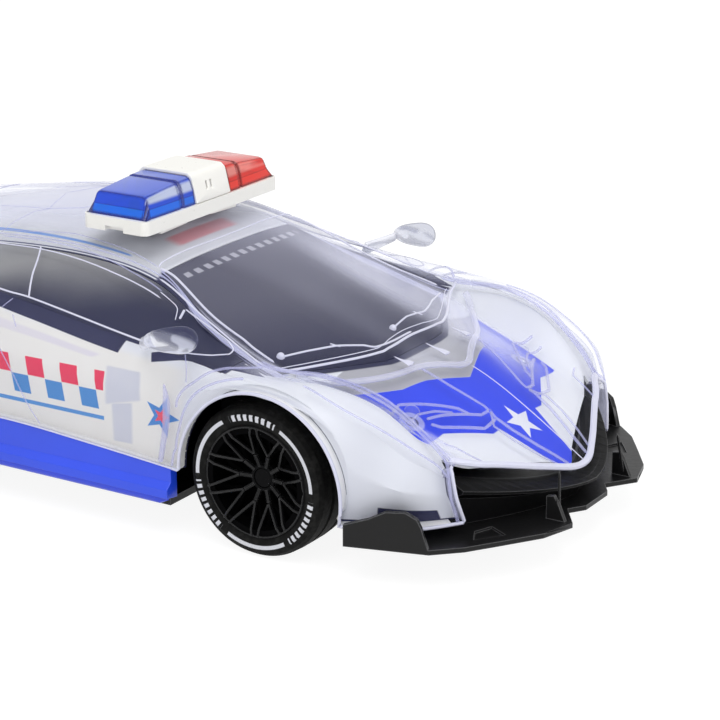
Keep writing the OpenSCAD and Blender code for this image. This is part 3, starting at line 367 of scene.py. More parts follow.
def pair(part):
    """A set of the left side and its mirror image on the right."""
    return joined(part, mirrored(part))


def spread(ends, step):
    """Rising list from the first end to the last that holds every end, with about that step between."""
    parts = [np.linspace(a, b, max(2, int(round((b - a) / step)) + 1))[:-1] for a, b in zip(ends, ends[1:])]
    return np.concatenate(parts + [[ends[-1]]])


def within(values, low, high):
    """The values from low to high, both ends included."""
    return values[(values > low - 1e-6) & (values < high + 1e-6)]


def box_mm(node):
    """Lowest and highest corner of a CAD node's box in millimetres."""
    low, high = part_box(node)
    return np.array(low) / MM, np.array(high) / MM


# The body's outer face
# The same character lines as in the CAD source: one point per station, nose to tail, [distance ahead of its
# axle, half breadth, height above the axles]. Stations before REAR_FROM are measured from the front axle,
# the others from the rear one. Places across run from 0 in the middle to EDGE at the lower edge, and below 0
# on the right. The lower edge follows the nose, the front arch, the sill, the rear arch and the tail, which
# meet at the stations NOSE_TO, FRONT_ARCH_TO, REAR_FROM and REAR_ARCH_TO.

NOSE_TO, FRONT_ARCH_TO, REAR_FROM, REAR_ARCH_TO, LAST = 2, 5, 9, 12, 14
EDGE = 6
HALF_W, FRONT_X, REAR_X, AXLE_Z = 58.0, 71.0, -81.0, 20.0
ARCH_R, ARCH_LEAD, ARCH_INSET, CREASE_ROUND = 24.2, 2.5, 0.4, 0.45
SHELL_WALL, LINER_DEPTH, LINER_WALL = 1.8, 2.6, 0.8
SCREEN_U, SCREEN_V = (4, 6), 2
WINDOW_U, WINDOW_V = (4 + 1 / 3, 8 + 2 / 3), (3, 4)
CENTRE_LINE = [[63.2, 0, 0], [47, 0, 10.2], [30, 0, 20.3], [22.5, 0, 22.8], [14.5, 0, 25], [-15, 0, 35.2],
               [-45, 0, 44.8], [-68, 0, 49.5], [-100, 0, 49.2], [24, 0, 45.2], [9, 0, 42], [-9, 0, 37.8],
               [-26, 0, 33.4], [-53, 0, 28], [-57, 0, 13]]
RIDGE_LINE = [[62.5, 5.3, 0.6], [45.5, 9.4, 10.9], [27.5, 14.2, 21.2], [20.5, 14.8, 23.6], [14, 14.9, 25.2],
              [-15, 15.4, 35], [-45, 15.5, 44.6], [-68, 15.5, 49.1], [-100, 15, 48.8], [24, 15, 44.8],
              [9, 15, 41.6], [-9, 15, 37.4], [-26, 15, 33.1], [-53, 15, 27.9], [-57, 15, 13]]
VALLEY_LINE = [[53.2, 30, 6.2], [43, 32, 11], [28, 34.5, 16.4], [14, 37, 20.8], [-1, 40, 26],
               [-23, 37.2, 33.2], [-45, 29.8, 43.6], [-68, 28, 47.4], [-100, 26, 47], [24, 25, 43.4],
               [9, 25.5, 40.4], [-9, 26.5, 36.4], [-26, 27.5, 32.3], [-53, 29, 27.4], [-57, 29, 13]]
RAIL_LINE = [[47.4, 39.5, 8.6], [41.5, 41, 15.4], [30, 43, 24], [15.8, 45, 27.8], [-3, 45.2, 27.6],
             [-24, 40.2, 34.2], [-45, 33.6, 41.3], [-68, 33, 45], [-100, 32.4, 44.2], [24, 32.5, 40.2],
             [9, 33, 38.2], [-9, 34, 35], [-26, 35.5, 31.2], [-53, 37.5, 26.8], [-56.8, 37, 13]]
BELT_LINE = [[48.6, 16.5, 7.2], [42, 8, 13.4], [31, 5.6, 20], [18, 4.6, 25.2], [-4, 4, 27.9],
             [-25, 4.6, 29.6], [-49, 5.6, 32], [-74, 6.2, 35.4], [-101, 7, 38.4], [25, 7, 37],
             [9, 6.4, 35.4], [-9, 6, 33.2], [-26, 6.4, 30.4], [-51, 9, 26], [-55, 11, 13]]
SHOULDER_INSET = [16.8, 3.6, 0.7, 0.3, 0.3, 0.5, 0.6, 0.6, 0.4, 0.2, 0, 0, 0.6, 6, 9.5]
SHOULDER_SHARE = 0.45
NOSE_EDGE = [[50.9, 18.9, -5.4], [41, 8, -5.8]]
SILL_EDGE = [[-49, 0.5, 1.5], [-76, 0.5, 3], [-101, 0.5, 2.6]]
TAIL_EDGE = [[-44, 4.5, 4], [-53.5, 10.5, 6]]
FRONT_ARCH, REAR_ARCH = np.radians([-13, 181]), np.radians([-3, 184])


def placed(line, first=0, outer=False):
    """Points of a character line in the car's frame; on outer lines the breadth is an inset from the widest
    part."""
    p = np.array(line, float)
    station = np.arange(first, first + len(p))
    if outer:
        p[:, 1] = HALF_W - p[:, 1]
    axle = np.where(station < REAR_FROM, FRONT_X, REAR_X)
    return p + np.stack([axle, 0 * station, 0 * station + AXLE_Z], -1)


def smooth_between(a, b, c, d, t):
    """Catmull-Rom curve from b to c as t goes from 0 to 1, with a before and d after them."""
    return b + ((c - a) * t + (2 * a - 5 * b + 4 * c - d) * t * t + (3 * b - a - 3 * c + d) * t ** 3) / 2


def curve(p, s):
    """Catmull-Rom curve through points p at positions s counted in points."""
    n = len(p) - 1
    i = np.clip(np.floor(s).astype(int), 0, n - 1)
    t = (s - i).reshape((-1,) + (1,) * (p.ndim - 1))
    return smooth_between(p[np.maximum(i - 1, 0)], p[i], p[i + 1], p[np.minimum(i + 2, n)], t)


def arch(x, span, t):
    """Points of a wheel arch's lip: a circle in the side plane, t from 0 at its front end to 1."""
    a = span[0] + (span[1] - span[0]) * np.asarray(t, float)
    breadth = np.full_like(a, HALF_W - ARCH_INSET)
    return np.stack([x + ARCH_R * np.cos(a), breadth, AXLE_Z + ARCH_R * np.sin(a)], -1)


CENTRE, RIDGE, VALLEY, RAIL = (placed(x) for x in (CENTRE_LINE, RIDGE_LINE, VALLEY_LINE, RAIL_LINE))
BELT = placed(BELT_LINE, outer=True)
FRONT_END = arch(FRONT_X + ARCH_LEAD, FRONT_ARCH, [0, 1])
REAR_END = arch(REAR_X, REAR_ARCH, [0, 1])
NOSE = np.vstack([placed(NOSE_EDGE, outer=True), FRONT_END[:1]])
SILL = np.vstack([FRONT_END[1:], placed(SILL_EDGE, outer=True), REAR_END[:1]])
TAIL = np.vstack([REAR_END[1:], placed(TAIL_EDGE, REAR_FROM, outer=True)])


def lower_edge(u):
    """Points of the lower edge at stations u: curves along nose, sill and tail, circles over the wheels."""
    front_t = (u - NOSE_TO) / (FRONT_ARCH_TO - NOSE_TO)
    rear_t = (u - REAR_FROM) / (REAR_ARCH_TO - REAR_FROM)
    parts = [curve(NOSE, np.clip(u, 0, NOSE_TO)),
             arch(FRONT_X + ARCH_LEAD, FRONT_ARCH, front_t),
             curve(SILL, np.clip(u - FRONT_ARCH_TO, 0, REAR_FROM - FRONT_ARCH_TO)),
             arch(REAR_X, REAR_ARCH, rear_t)]
    before = [(u < end)[:, None] for end in (NOSE_TO, FRONT_ARCH_TO, REAR_FROM, REAR_ARCH_TO)]
    return np.select(before, parts, curve(TAIL, np.clip(u - REAR_ARCH_TO, 0, LAST - REAR_ARCH_TO)))


def section(u):
    """The seven corners of the half cross section at stations u: centre, ridge, valley, rail, belt, shoulder,
    lower edge."""
    lower, belt = lower_edge(u), curve(BELT, u)
    shoulder = belt + (lower - belt) * SHOULDER_SHARE
    shoulder[:, 1] = HALF_W - curve(np.array(SHOULDER_INSET)[:, None], u)[:, 0]
    upper = [curve(line, u) for line in (CENTRE, RIDGE, VALLEY, RAIL)]
    return np.stack([*upper, belt, shoulder, lower], 1)


def on_body(u, v):
    """Outer face at stations u and places across v (negative on the right): between the section's straight
    line and a smooth curve through its corners, by CREASE_ROUND. u and v broadcast to one array."""
    u, v = np.broadcast_arrays(np.asarray(u, float), np.asarray(v, float))
    shape, u, v = u.shape, u.ravel(), v.ravel()
    w, k = np.abs(v), np.arange(u.size)
    s = section(u)
    ring = np.concatenate([s[:, 1:2] * np.array([1, -1, 1]), s], 1)
    i = np.minimum(np.floor(w).astype(int), EDGE - 1)
    t = (w - i)[:, None]
    straight = s[k, i] + (s[k, i + 1] - s[k, i]) * t
    after = np.minimum(i + 3, EDGE + 1)
    smooth = smooth_between(ring[k, i], ring[k, i + 1], ring[k, i + 2], ring[k, after], t)
    p = straight + (smooth - straight) * CREASE_ROUND
    p[:, 1] *= np.where(v < 0, -1, 1)
    return p.reshape(shape + (3,))


def body_out(u, v, h=0.04):
    """Unit normal of the outer face by central differences."""
    u, v = np.broadcast_arrays(np.asarray(u, float), np.asarray(v, float))
    along = on_body(np.maximum(u - h, 0), v) - on_body(np.minimum(u + h, LAST), v)
    across = on_body(u, np.minimum(v + h, EDGE)) - on_body(u, np.maximum(v - h, -EDGE))
    n = np.cross(along, across)
    return n / np.linalg.norm(n, axis=-1, keepdims=True)


def under_body(u, v, depth):
    """Points at a depth under the outer face, along its normal."""
    return on_body(u, v) - depth * body_out(u, v)


def lip_station(v):
    """Station of the hood's front lip across the car: at the nose tip in the middle, drawn back towards the
    fenders."""
    return np.interp(np.abs(v), [0, 1.07, 1.4, 1.9, 2.85, 3.05], [0, 0, 0.06, 0.24, 0.3, 0])


def liner_station(v):
    """Station of the liner's front edge across the car: a little behind the hood's lip, and at the front of
    the fenders."""
    return np.interp(np.abs(v), [0, 0.4, 1.2, 2.2, 2.85, 3.0], [0.15, 0.2, 0.34, 0.54, 0.52, 0.0])


def body_skin(us, vs, depth, thick, keep=None, front=lip_station):
    """Wall between two depths under the outer face over a grid of stations and places across; ahead of the
    first whole station the grid is drawn back to its front edge."""
    u, v = np.meshgrid(us, vs, indexing="ij")
    u = u + front(v) * np.clip(1 - u, 0, 1)
    mid_u, mid_v = np.meshgrid((us[1:] + us[:-1]) / 2, (vs[1:] + vs[:-1]) / 2, indexing="ij")
    kept = None if keep is None else keep(mid_u, mid_v)
    points, faces = wall(under_body(u, v, depth), under_body(u, v, depth + thick), kept)
    uv = np.tile(np.stack([u / LAST, v / (2 * EDGE) + 0.5], -1).reshape(-1, 2), (2, 1))
    return points, faces, uv


# The liner's print, with painted shade, highlights and sheen among it: each function gives layers of mask and
# tint, which are laid over the white in turn
# Places are in millimetres, and the hood's lamps are given by station and place across

NAVY, LAVENDER = (0.018, 0.020, 0.065), (0.50, 0.51, 0.72)
CHECK_LENGTH, CHECK_LEAN = 5.6, 0.18
SIDE_STAR_X, SIDE_STAR_Z, HOOD_STAR_X = 42.5, 32.0, 116.5
FLANK = 50.0
HOOD_LAMP, SMALL_LAMP = (1.86, 1.74), (1.2, 1.02)


class PrintPlace:
    """Where on the liner a print is: station u, place across w on either side, millimetres x, y, z and side,
    the distance from the middle, and a blotchy noise. It also holds the finish that the print is part of."""

    def __init__(self, f):
        self.finish = f
        self.x, self.y, self.z = f.place()
        self.u, across = f.body_place()
        self.w, self.side = abs(across), abs(self.y)
        self.blotch = f.grain(90, detail=3)


def side_panels(p):
    """Painted shade that greys the front fender where its face folds under, cream door, two grey patches one
    above the other that are painted shadows of the parts inside showing through the door, and a painted
    lavender sheen."""
    f, u, w, blotch = p.finish, p.u, p.w, p.blotch
    # Painted shade where the fender's face folds under.
    fender_fold_shade = u.under(2.7, 1.8) * w.over(3.3, 0.7)
    door = u.between(4.9, 9.2, 0.4) * w.over(4.3, 0.2)
    # Painted shadows of the parts inside, seen through the door.
    upper_shadow = f.inside(u, w, [(5.90, 4.66), (5.50, 4.60), (5.50, 5.12), (5.90, 5.34)], 0.05)
    lower_shadow = f.inside(u, w, [(5.83, 5.3), (5.60, 5.2), (5.64, 5.86), (5.83, 5.9)], 0.04)
    # Painted sheen.
    sheen = f.inside(u, w, [(7.9, 4.44), (6.0, 4.50), (6.1, 4.60), (7.9, 4.62)], 0.06)
    return [(fender_fold_shade * 0.55, (0.64, 0.655, 0.71)),
            (door * 0.85, f.mix(blotch, (0.80, 0.775, 0.72), (0.86, 0.845, 0.80))),
            (upper_shadow.max(lower_shadow) * (0.5 + blotch * 0.5), (0.56, 0.58, 0.68)),
            (sheen * (0.2 + blotch * 0.4), (0.62, 0.57, 0.74))]


def check_band(p):
    """Upper row of red checks and lower row of blue ones between them, with a thin line below."""
    odd = (((p.x + p.z * CHECK_LEAN) / (2 * CHECK_LENGTH)) % 1.0).over(0.5, 0.02)
    on_door = p.x.between(-46.0, 24.0, 0.2) * p.side.over(FLANK) * p.w.over(4.4)
    return [(on_door * p.z.between(35.6, 40.6, 0.2) * odd, (0.80, 0.055, 0.12)),
            (on_door * p.z.between(30.4, 35.4, 0.2) * (1 - odd), (0.08, 0.27, 0.62)),
            (on_door * p.z.between(27.6, 28.7, 0.15), (0.10, 0.30, 0.66))]


def side_stars(p):
    """Blue star ahead of each door with a small red one in it."""
    ahead, up = p.x - SIDE_STAR_X, p.z - SIDE_STAR_Z
    rows = ((5.6, (0.07, 0.25, 0.62)), (2.6, (0.82, 0.10, 0.16)))
    return [(p.finish.star(ahead, up, radius) * p.side.over(FLANK), tint) for radius, tint in rows]


def roof_print(p):
    """Grey roof with blue lines along its edges and a red strip ahead of the light bar."""
    f, u, w, blotch = p.finish, p.u, p.w, p.blotch
    roof = u.between(6.04, 9.3, 0.06) * w.under(2.84, 0.05)
    pinstripe = roof * w.between(1.98, 2.2, 0.08) * u.between(6.55, 8.8, 0.1)
    strip = u.between(6.26, 6.5, 0.06) * w.under(0.85, 0.3)
    return [(roof, f.mix(blotch, (0.60, 0.61, 0.65), (0.72, 0.73, 0.75))),
            (pinstripe * (0.6 + blotch * 0.4), (0.04, 0.22, 0.66)),
            (strip * (0.5 + blotch * 0.5), (0.78, 0.16, 0.17))]


def pillar_stripes(p):
    """Navy stripes on the lavender windscreen pillar, and two dark lines over the side windows."""
    u, w = p.u, p.w
    pillar = u.between(3.95, 6.05, 0.05)
    stripes = w.between(2.32, 2.6, 0.04).max(w.between(2.7, 3.05, 0.04))
    lines = w.between(2.84, 2.9, 0.03).max(w.between(2.97, 3.1, 0.03))
    return [(pillar * w.between(1.95, 3.05, 0.04), LAVENDER),
            (pillar * stripes, NAVY),
            (u.between(5.95, 8.9, 0.1) * lines, (0.10, 0.105, 0.19))]


def window_bands(p):
    """Navy bands under the side window and under the quarter window, and the navy edge of the side window."""
    f, u, w = p.finish, p.u, p.w
    belt = f.inside(u, w, [(8.9, 4.02), (5.70, 4.02), (5.79, 4.37), (7.32, 4.29), (8.9, 4.2)], 0.02)
    corner = f.inside(u, w, [(5.38, 4.17), (4.70, 3.52), (4.45, 3.86), (5.37, 4.35)], 0.02)
    tip = f.inside(u, w, [(4.75, 3.5), (4.15, 2.98), (3.92, 3.22), (4.5, 3.88)], 0.02)
    window_edge = u.between(4.28, 8.72, 0.03) * w.between(2.95, 4.06, 0.03)
    return [(belt.max(corner.max(tip)).max(window_edge), f.mix(p.blotch, NAVY, (0.035, 0.038, 0.10)))]


def hood_print(p, soft=0.4):
    """Blue hood panel with a strip to the nose and a pale star, grey cowl behind it and a dark sliver along
    the windscreen."""
    f, x, side, w, blotch = p.finish, p.x, p.side, p.w, p.blotch
    panel_end, point_end, strip_end, cowl_start = 108.1, 115.3, 130.6, 79.0
    cowl_line = (101.0 - side * 0.352).min(110.4 - side * 0.79)
    ahead_of_cowl = (x - cowl_line).over(0, soft)
    point = (side + (x - panel_end) * 1.81).under(26.0, soft) * x.under(point_end, soft)
    strip = (side + (x - 114.0) * 0.35).under(10.0, soft) * x.under(strip_end, soft)
    hood = ahead_of_cowl * x.under(panel_end, soft).max(point).max(strip) * w.under(2.05, 0.02)
    cowl = x.over(cowl_start, soft) * w.under(2.35, 0.02) * (1 - ahead_of_cowl)
    return [(hood, f.mix(blotch, (0.022, 0.055, 0.74), (0.035, 0.075, 0.82))),
            (f.star(HOOD_STAR_X - x, p.y, 5.4) * hood, (0.80, 0.81, 0.86)),
            (cowl, f.mix(blotch, (0.36, 0.36, 0.40), (0.50, 0.50, 0.52))),
            (p.u.between(3.88, 4.06, 0.05) * w.under(1.9, 0.2), NAVY)]


def lamp_print(p):
    """Lamp under its dome: lavender disc, with a painted dark ring and a painted highlight at its centre for
    the light that the dome's lens bends.
    """
    lamp_x, lamp_y = (float(c) for c in on_body(*HOOD_LAMP)[:2])
    ahead, out = p.x - lamp_x, p.side - lamp_y
    far = (ahead * ahead + out * out).sqrt()
    # The navy ring is painted shade and the pale centre a painted highlight of the dome's lens.
    return [(far.under(3.2, 0.6) * 0.75, (0.50, 0.52, 0.80)),
            (far.between(1.1, 1.7, 0.3) * 0.8, NAVY),
            (far.under(0.7, 0.2), (0.86, 0.87, 0.92))]


def fender_front(p):
    """Front of the fender, where the shell's wall is seen edge-on: a navy line, then lavender."""
    rim = p.w.over(3.0, 0.04)
    return [(rim * p.u.under(0.1, 0.02), NAVY), (rim * p.u.under(0.05, 0.02), LAVENDER)]


def rear_window(p):
    """Rear window behind the roof: navy with pale slats."""
    f, u = p.finish, p.u
    rear = u.between(9.5, 11.3, 0.03) * p.w.under(1.72, 0.03)
    slats = (u * 4.0 % 1.0).under(0.22, 0.04) * u.over(10.0, 0.02)
    return [(rear, f.mix(slats, f.mix(p.blotch, NAVY, (0.05, 0.053, 0.11)), (0.42, 0.43, 0.52)))]


def lower_gap_shade(p):
    """Painted shade: navy for the dark gap along the lower edge of the front fender."""
    # Painted shade of the gap under the fender's lower edge.
    notch = p.u.between(0.42, 1.42, 0.03) * p.w.over(5.6, 0.03)
    return [(notch.max(p.u.under(5.1) * p.w.over(5.93, 0.02)), NAVY)]


def liner_finish():
    """White liner with its print and the painted shade, highlights and sheen laid over it."""
    f = Finish("liner_print")
    p = PrintPlace(f)
    white = f.mix(f.grain(30, detail=2), (0.76, 0.78, 0.83), (0.85, 0.86, 0.88))
    print_and_light_layers = (side_panels, check_band, side_stars, roof_print, pillar_stripes, window_bands, hood_print,
              lamp_print, fender_front, rear_window, lower_gap_shade)
    colour = f.layered(white, [layer for layers in print_and_light_layers for layer in layers(p)])
    return f.done(f.shader(Base_Color=colour, Roughness=0.38 + p.blotch * 0.12, Specular_IOR_Level=0.35))


# Finishes

def clear_plastic(name, tint, haze, rim):
    """Clear plastic: lets light straight through, with a tinted haze, and shows gloss more and more towards
    its outline."""
    f = Finish(name)
    ripple = f.grain(140, detail=2)
    pale = tuple(0.3 + 0.7 * c for c in tint)
    gloss = f.shader(Base_Color=f.mix(ripple, tint, pale), Roughness=0.06 + ripple * 0.04,
                     Normal=f.bump(ripple, 0.05, 0.0004))
    share = haze + f.facing(0.35).over(0.545, 0.3) * rim
    return f.done(f.blend(share.min(0.95), f.clear((0.984, 0.986, 0.995)), gloss))


def smoked_finish():
    """Smoked film: navy, with a painted reflection that leaves it darkest along the bottom of the windscreen
    and at the front of the side windows and paler towards the top and the rear, with a row of plain dashes
    near the top of the windscreen."""
    f = Finish("smoked_film")
    u, v = f.body_place()
    w = abs(v)
    cloud = f.grain(22, detail=2)
    screen_start, screen_end = SCREEN_U
    dash_step, window_middle = 0.26, sum(WINDOW_V) / 2
    # Painted reflection: the windscreen's navy pales as it rises, and a little towards the left.
    rise = (u - screen_start) / (screen_end - screen_start) + (v + SCREEN_V) * 0.05 + (cloud - 0.5) * 0.35
    screen = f.mix(rise.max(0.0).min(1.0).over(0.35, 0.7), (0.004, 0.005, 0.042), (0.09, 0.09, 0.13))
    dashes = u.between(5.775, 5.85, 0.02) * w.under(1.75) * ((v + 4.0) / dash_step % 1.0).under(0.55)
    screen = f.mix(dashes, screen, (0.42, 0.42, 0.48))
    # Painted reflection: the side window's navy pales towards its top and rear.
    back = (u - 5.0) / 2.6 + (window_middle - w) * 0.7 + (cloud - 0.5) * 0.9
    window = f.mix(back.max(0.0).min(1.0).over(0.72, 0.8), (0.012, 0.014, 0.05), (0.30, 0.30, 0.30))
    beside_screen = w.over((SCREEN_V + WINDOW_V[0]) / 2)
    return f.done(f.shader(Base_Color=f.mix(beside_screen, screen, window), Roughness=0.3 + cloud * 0.15,
                           Specular_IOR_Level=0.3))


def black_finish(name, base, roughness, edge_highlight, grain=700, shine=0.26):
    """Satin black: fine grain, with a painted highlight that makes the edges a little paler."""
    f = Finish(name)
    fine, broad = f.grain(grain, detail=3), f.grain(40, detail=2)
    # Painted highlight along the edges that the Bevel node finds.
    edge = f.edges(0.0005).over(0.1, 0.16)
    dark = f.mix(broad, shaded(base, 0.7), base)
    return f.done(f.shader(
        Base_Color=f.mix(edge * edge_highlight, dark, (0.16, 0.16, 0.165)), Specular_IOR_Level=shine,
        Roughness=roughness * 0.85 + fine * (0.3 * roughness), Normal=f.bump(fine, 0.15, 0.0003)))


def from_axle(x, z):
    """Distances ahead of and above the nearer axle, and the radius about it."""
    ahead = x - (REAR_X + x.over(0) * (FRONT_X - REAR_X))
    above = z - AXLE_Z
    return ahead, above, (ahead * ahead + above * above).sqrt()


def rim_finish():
    """Black rim: a satin hub, and from there outwards a dull ring painted near-black as shade, so that it
    reads as a dark opening, with a thin paler edge.
    """
    f = Finish("black_rim")
    x, _, z = f.place()
    fine = f.grain(900, detail=3)
    _, _, radius = from_axle(x, z)
    hub_end, edge_start = 3.9, 14.4
    # Painted shade: the ring beyond the hub is near-black, like a dark opening.
    ring, edge = radius.over(hub_end), radius.over(edge_start)
    satin = f.mix(fine, (0.0045, 0.0045, 0.005), (0.007, 0.007, 0.0075))
    colour = f.layered(satin, [(ring, (0.0012, 0.0012, 0.0014)), (edge, (0.02, 0.02, 0.021))])
    return f.done(f.shader(Base_Color=colour, Specular_IOR_Level=0.03, Normal=f.bump(fine, 0.15, 0.0003),
                           Roughness=0.4 + ring * 0.35 + fine * 0.08))


def lens_finish(name, node, deep, body, pale, glint):
    """Coloured clear lens: glossy, with dark lines where its walls meet, a foot made brighter by painted
    light under a thin line, a painted highlight that sweeps high along the front wall and a painted sheen
    that pales the top."""
    f = Finish(name)
    x, _, z = f.place()
    low, high = box_mm(node)
    height = (z - float(low[2])) * float(1 / (high[2] - low[2]))
    front = x.over(float(low[0] + 0.9 * (high[0] - low[0])), 0.5)
    cloud = f.grain(60, detail=2)
    streak = f.grain(90, detail=1, stretch=(1, 1, 3))
    edge = f.edges(0.0014).over(0.035, 0.06)
    # Painted light: the foot is brighter, the top paler, and a highlight sweeps along the front wall.
    foot = height.under(0.33, 0.04) * 0.8 + cloud * 0.2
    top_sheen = height.over(0.78, 0.08) * (1 - front) * 0.16
    sweep_highlight = front * height.between(0.52, 0.86, 0.14) * streak.over(0.38, 0.2) * 0.8
    line = height.between(0.32, 0.36, 0.02) * 0.35
    colour = f.layered(body, [(foot, pale), (top_sheen, glint), (sweep_highlight, glint), (edge.max(line), deep)])
    gloss = f.shader(Base_Color=colour, Roughness=0.05 + cloud * 0.05)
    share = (0.62 + f.facing(0.4) * 0.3).max(edge).min(0.97)
    return f.done(f.blend(share, f.clear(pale), gloss))


def mirror_finish():
    """Thick clear plastic of the mirror heads: light goes through, the upper front carries a painted navy
    reflection, with a rim and a few broad painted glints low down."""
    f = Finish("clear_mirror")
    x, _, z = f.place()
    ripple = f.grain(110, detail=1, stretch=(1, 1, 1.5))
    low, high = box_mm("left_mirror")
    # Painted reflection: navy on the upper front; painted glints lower down.
    navy_reflection = (z - float(high[2] - 4.4) + (x - float(low[0] + 8.0)) * 0.25).over(0, 2.0)
    glint = (1 - navy_reflection) * ripple.between(0.46, 0.58, 0.04)
    colour = f.mix(navy_reflection, (0.90, 0.91, 0.97), (0.07, 0.075, 0.16))
    gloss = f.shader(Base_Color=colour, Roughness=0.04 + ripple * 0.03, Normal=f.bump(ripple, 0.3, 0.001))
    share = 0.3 - navy_reflection * 0.12 + f.facing(0.5).over(0.7, 0.3) * 0.45 + glint * 0.5
    return f.done(f.blend(share.min(0.9), f.clear((0.94, 0.95, 0.99)), gloss))


def tyre_finish():
    """Rubber with fine grain and a white ring near the tread on the outer wall, broken into arcs with plain
    dashes: three arcs of 60 degrees, with dashes every 6 degrees between them."""
    f = Finish("tyre_rubber")
    x, y, z = f.place()
    fine, dust = f.grain(1400, detail=3), f.grain(500, detail=4)
    ahead, above, radius = from_axle(x, z)
    outer_wall, sector, dash_step = 54.5, 120.0, 6.0
    outer = abs(y).over(outer_wall, 0.3)
    turn = (above.turn(ahead) + 360.0) % sector
    arcs = turn.between(2, 62, 0.6) * radius.between(16.5, 17.5, 0.15)
    dashes = turn.between(68, 114, 0.6) * (turn % dash_step).under(3.4, 0.4)
    dashes = dashes * radius.between(16.2, 17.8, 0.15)
    rubber = f.mix(dust.between(0.55, 0.8, 0.2), (0.003, 0.003, 0.003), (0.010, 0.010, 0.0095))
    colour = f.mix(outer * arcs.max(dashes), rubber, (0.66, 0.67, 0.72))
    return f.done(f.shader(Base_Color=colour, Roughness=0.62 + fine * 0.2, Specular_IOR_Level=0.14,
                           Normal=f.bump(fine, 0.35, 0.0003)))


CLEAR = clear_plastic("clear_shell", (0.74, 0.76, 0.98), haze=0.008, rim=0.5)
# The trims' hazes are partly a painted highlight: the pale light that the thick edges and ridges of clear
# plastic catch, strongest in the bright edge.
CLEAR_EDGE = clear_plastic("clear_edge", (0.52, 0.53, 0.88), haze=0.34, rim=0.3)
CLEAR_LAMP = clear_plastic("clear_lamp", (0.62, 0.64, 0.94), haze=0.08, rim=0.6)
CLEAR_BRIGHT = clear_plastic("clear_bright_edge", (0.76, 0.77, 0.95), haze=0.75, rim=0.2)
CLEAR_POST = clear_plastic("clear_post", (0.78, 0.79, 0.98), haze=0.3, rim=0.5)
CLEAR_MIRROR = mirror_finish()
LINER = liner_finish()
SMOKED = smoked_finish()
BLACK = black_finish("black_bumper", (0.006, 0.006, 0.0065), roughness=0.36, edge_highlight=0.7)
# The grille is painted darker than the bumper: painted shade for its recess.
GRILLE_SHADE_BLACK = black_finish("black_grille_shaded", (0.003, 0.003, 0.0034), roughness=0.5, edge_highlight=0.5, shine=0.1)
RIM_BLACK = rim_finish()
SPOKE_BLACK = black_finish("black_spokes", (0.004, 0.004, 0.0045), roughness=0.36, edge_highlight=0.3, grain=900,
                           shine=0.2)
# The wheel backs are near-black: painted shade between the spokes.
BACK_SHADE_BLACK = black_finish("rim_back_shade", (0.0012, 0.0012, 0.0014), roughness=0.6, edge_highlight=0.05, grain=600,
                          shine=0.04)
SKIRT_GLOSS = {"roughness": 0.14, "grain": 120, "depth": 0.12, "vary": 0.3, "coat": 0.15}
# The lip is a darker blue than the skirt: painted shade where it turns under.
BLUE_SHADED_LIP = moulded("blue_skirt_lip_shaded", (0.009, 0.05, 0.78), **SKIRT_GLOSS)
BLUE = moulded("blue_skirt", (0.014, 0.078, 0.93), **SKIRT_GLOSS)
LINER_EDGE = moulded("liner_edge", (0.80, 0.80, 0.80), roughness=0.4, grain=600, depth=0.02, vary=0.05)
WHITE = moulded("warm_white", (0.93, 0.92, 0.87), roughness=0.3, depth=0.01, vary=0.025)
DARK = moulded("dark_plastic", (0.02, 0.02, 0.022), roughness=0.5)
PALE = moulded("pale_plastic", (0.70, 0.70, 0.66), roughness=0.4)
BOARD = moulded("board_green", (0.03, 0.16, 0.06), roughness=0.35, grain=400)
CELL = moulded("cell_wrap", (0.55, 0.38, 0.06), roughness=0.3, grain=300)
STEEL = turned_metal("turned_steel", (0.62, 0.62, 0.64), roughness=0.25)
BRASS = turned_metal("brass", (0.72, 0.52, 0.2), roughness=0.3)
BLUE_LENS = lens_finish("blue_lens_clear", "blue_lens", deep=(0.003, 0.006, 0.15), body=(0.02, 0.085, 0.74),
                        pale=(0.01, 0.21, 0.98), glint=(0.85, 0.93, 1.0))
RED_LENS = lens_finish("red_lens_clear", "red_lens", deep=(0.13, 0.002, 0.002), body=(0.80, 0.03, 0.02),
                       pale=(0.98, 0.05, 0.03), glint=(1.0, 0.38, 0.33))
TYRE = tyre_finish()

NODE_FINISH = {
    TYRE: ["front_left_tyre", "front_right_tyre", "rear_left_tyre", "rear_right_tyre"],
    RIM_BLACK: ["front_left_rim", "front_right_rim", "rear_left_rim", "rear_right_rim", "left_wheel_screw",
                "right_wheel_screw"],
    BLACK: ["chassis_tray", "front_bumper", "rear_bumper", "battery_door"],
    GRILLE_SHADE_BLACK: ["front_grille"],
    BLUE: ["left_side_skirt", "right_side_skirt"],
    CLEAR_POST: ["body_posts"],
    WHITE: ["light_bar_base", "light_bar_bridge"],
    RED_LENS: ["left_tail_light", "right_tail_light"],
    BOARD: ["circuit_board", "light_bar_board"],
    CELL: ["battery_cells"],
    PALE: ["axle_gear", "idler_gear", "tie_rod", "steering_lever"],
    BRASS: ["motor_pinion"],
    STEEL: ["rear_axle", "idler_shaft", "drive_motor", "body_screws", "battery_contacts", "switch_body"],
}
finish_of = {name: finish for finish, names in NODE_FINISH.items() for name in names}
for name, made in nodes.items():
    made.data.materials.clear()
    made.data.materials.append(finish_of.get(name, DARK))

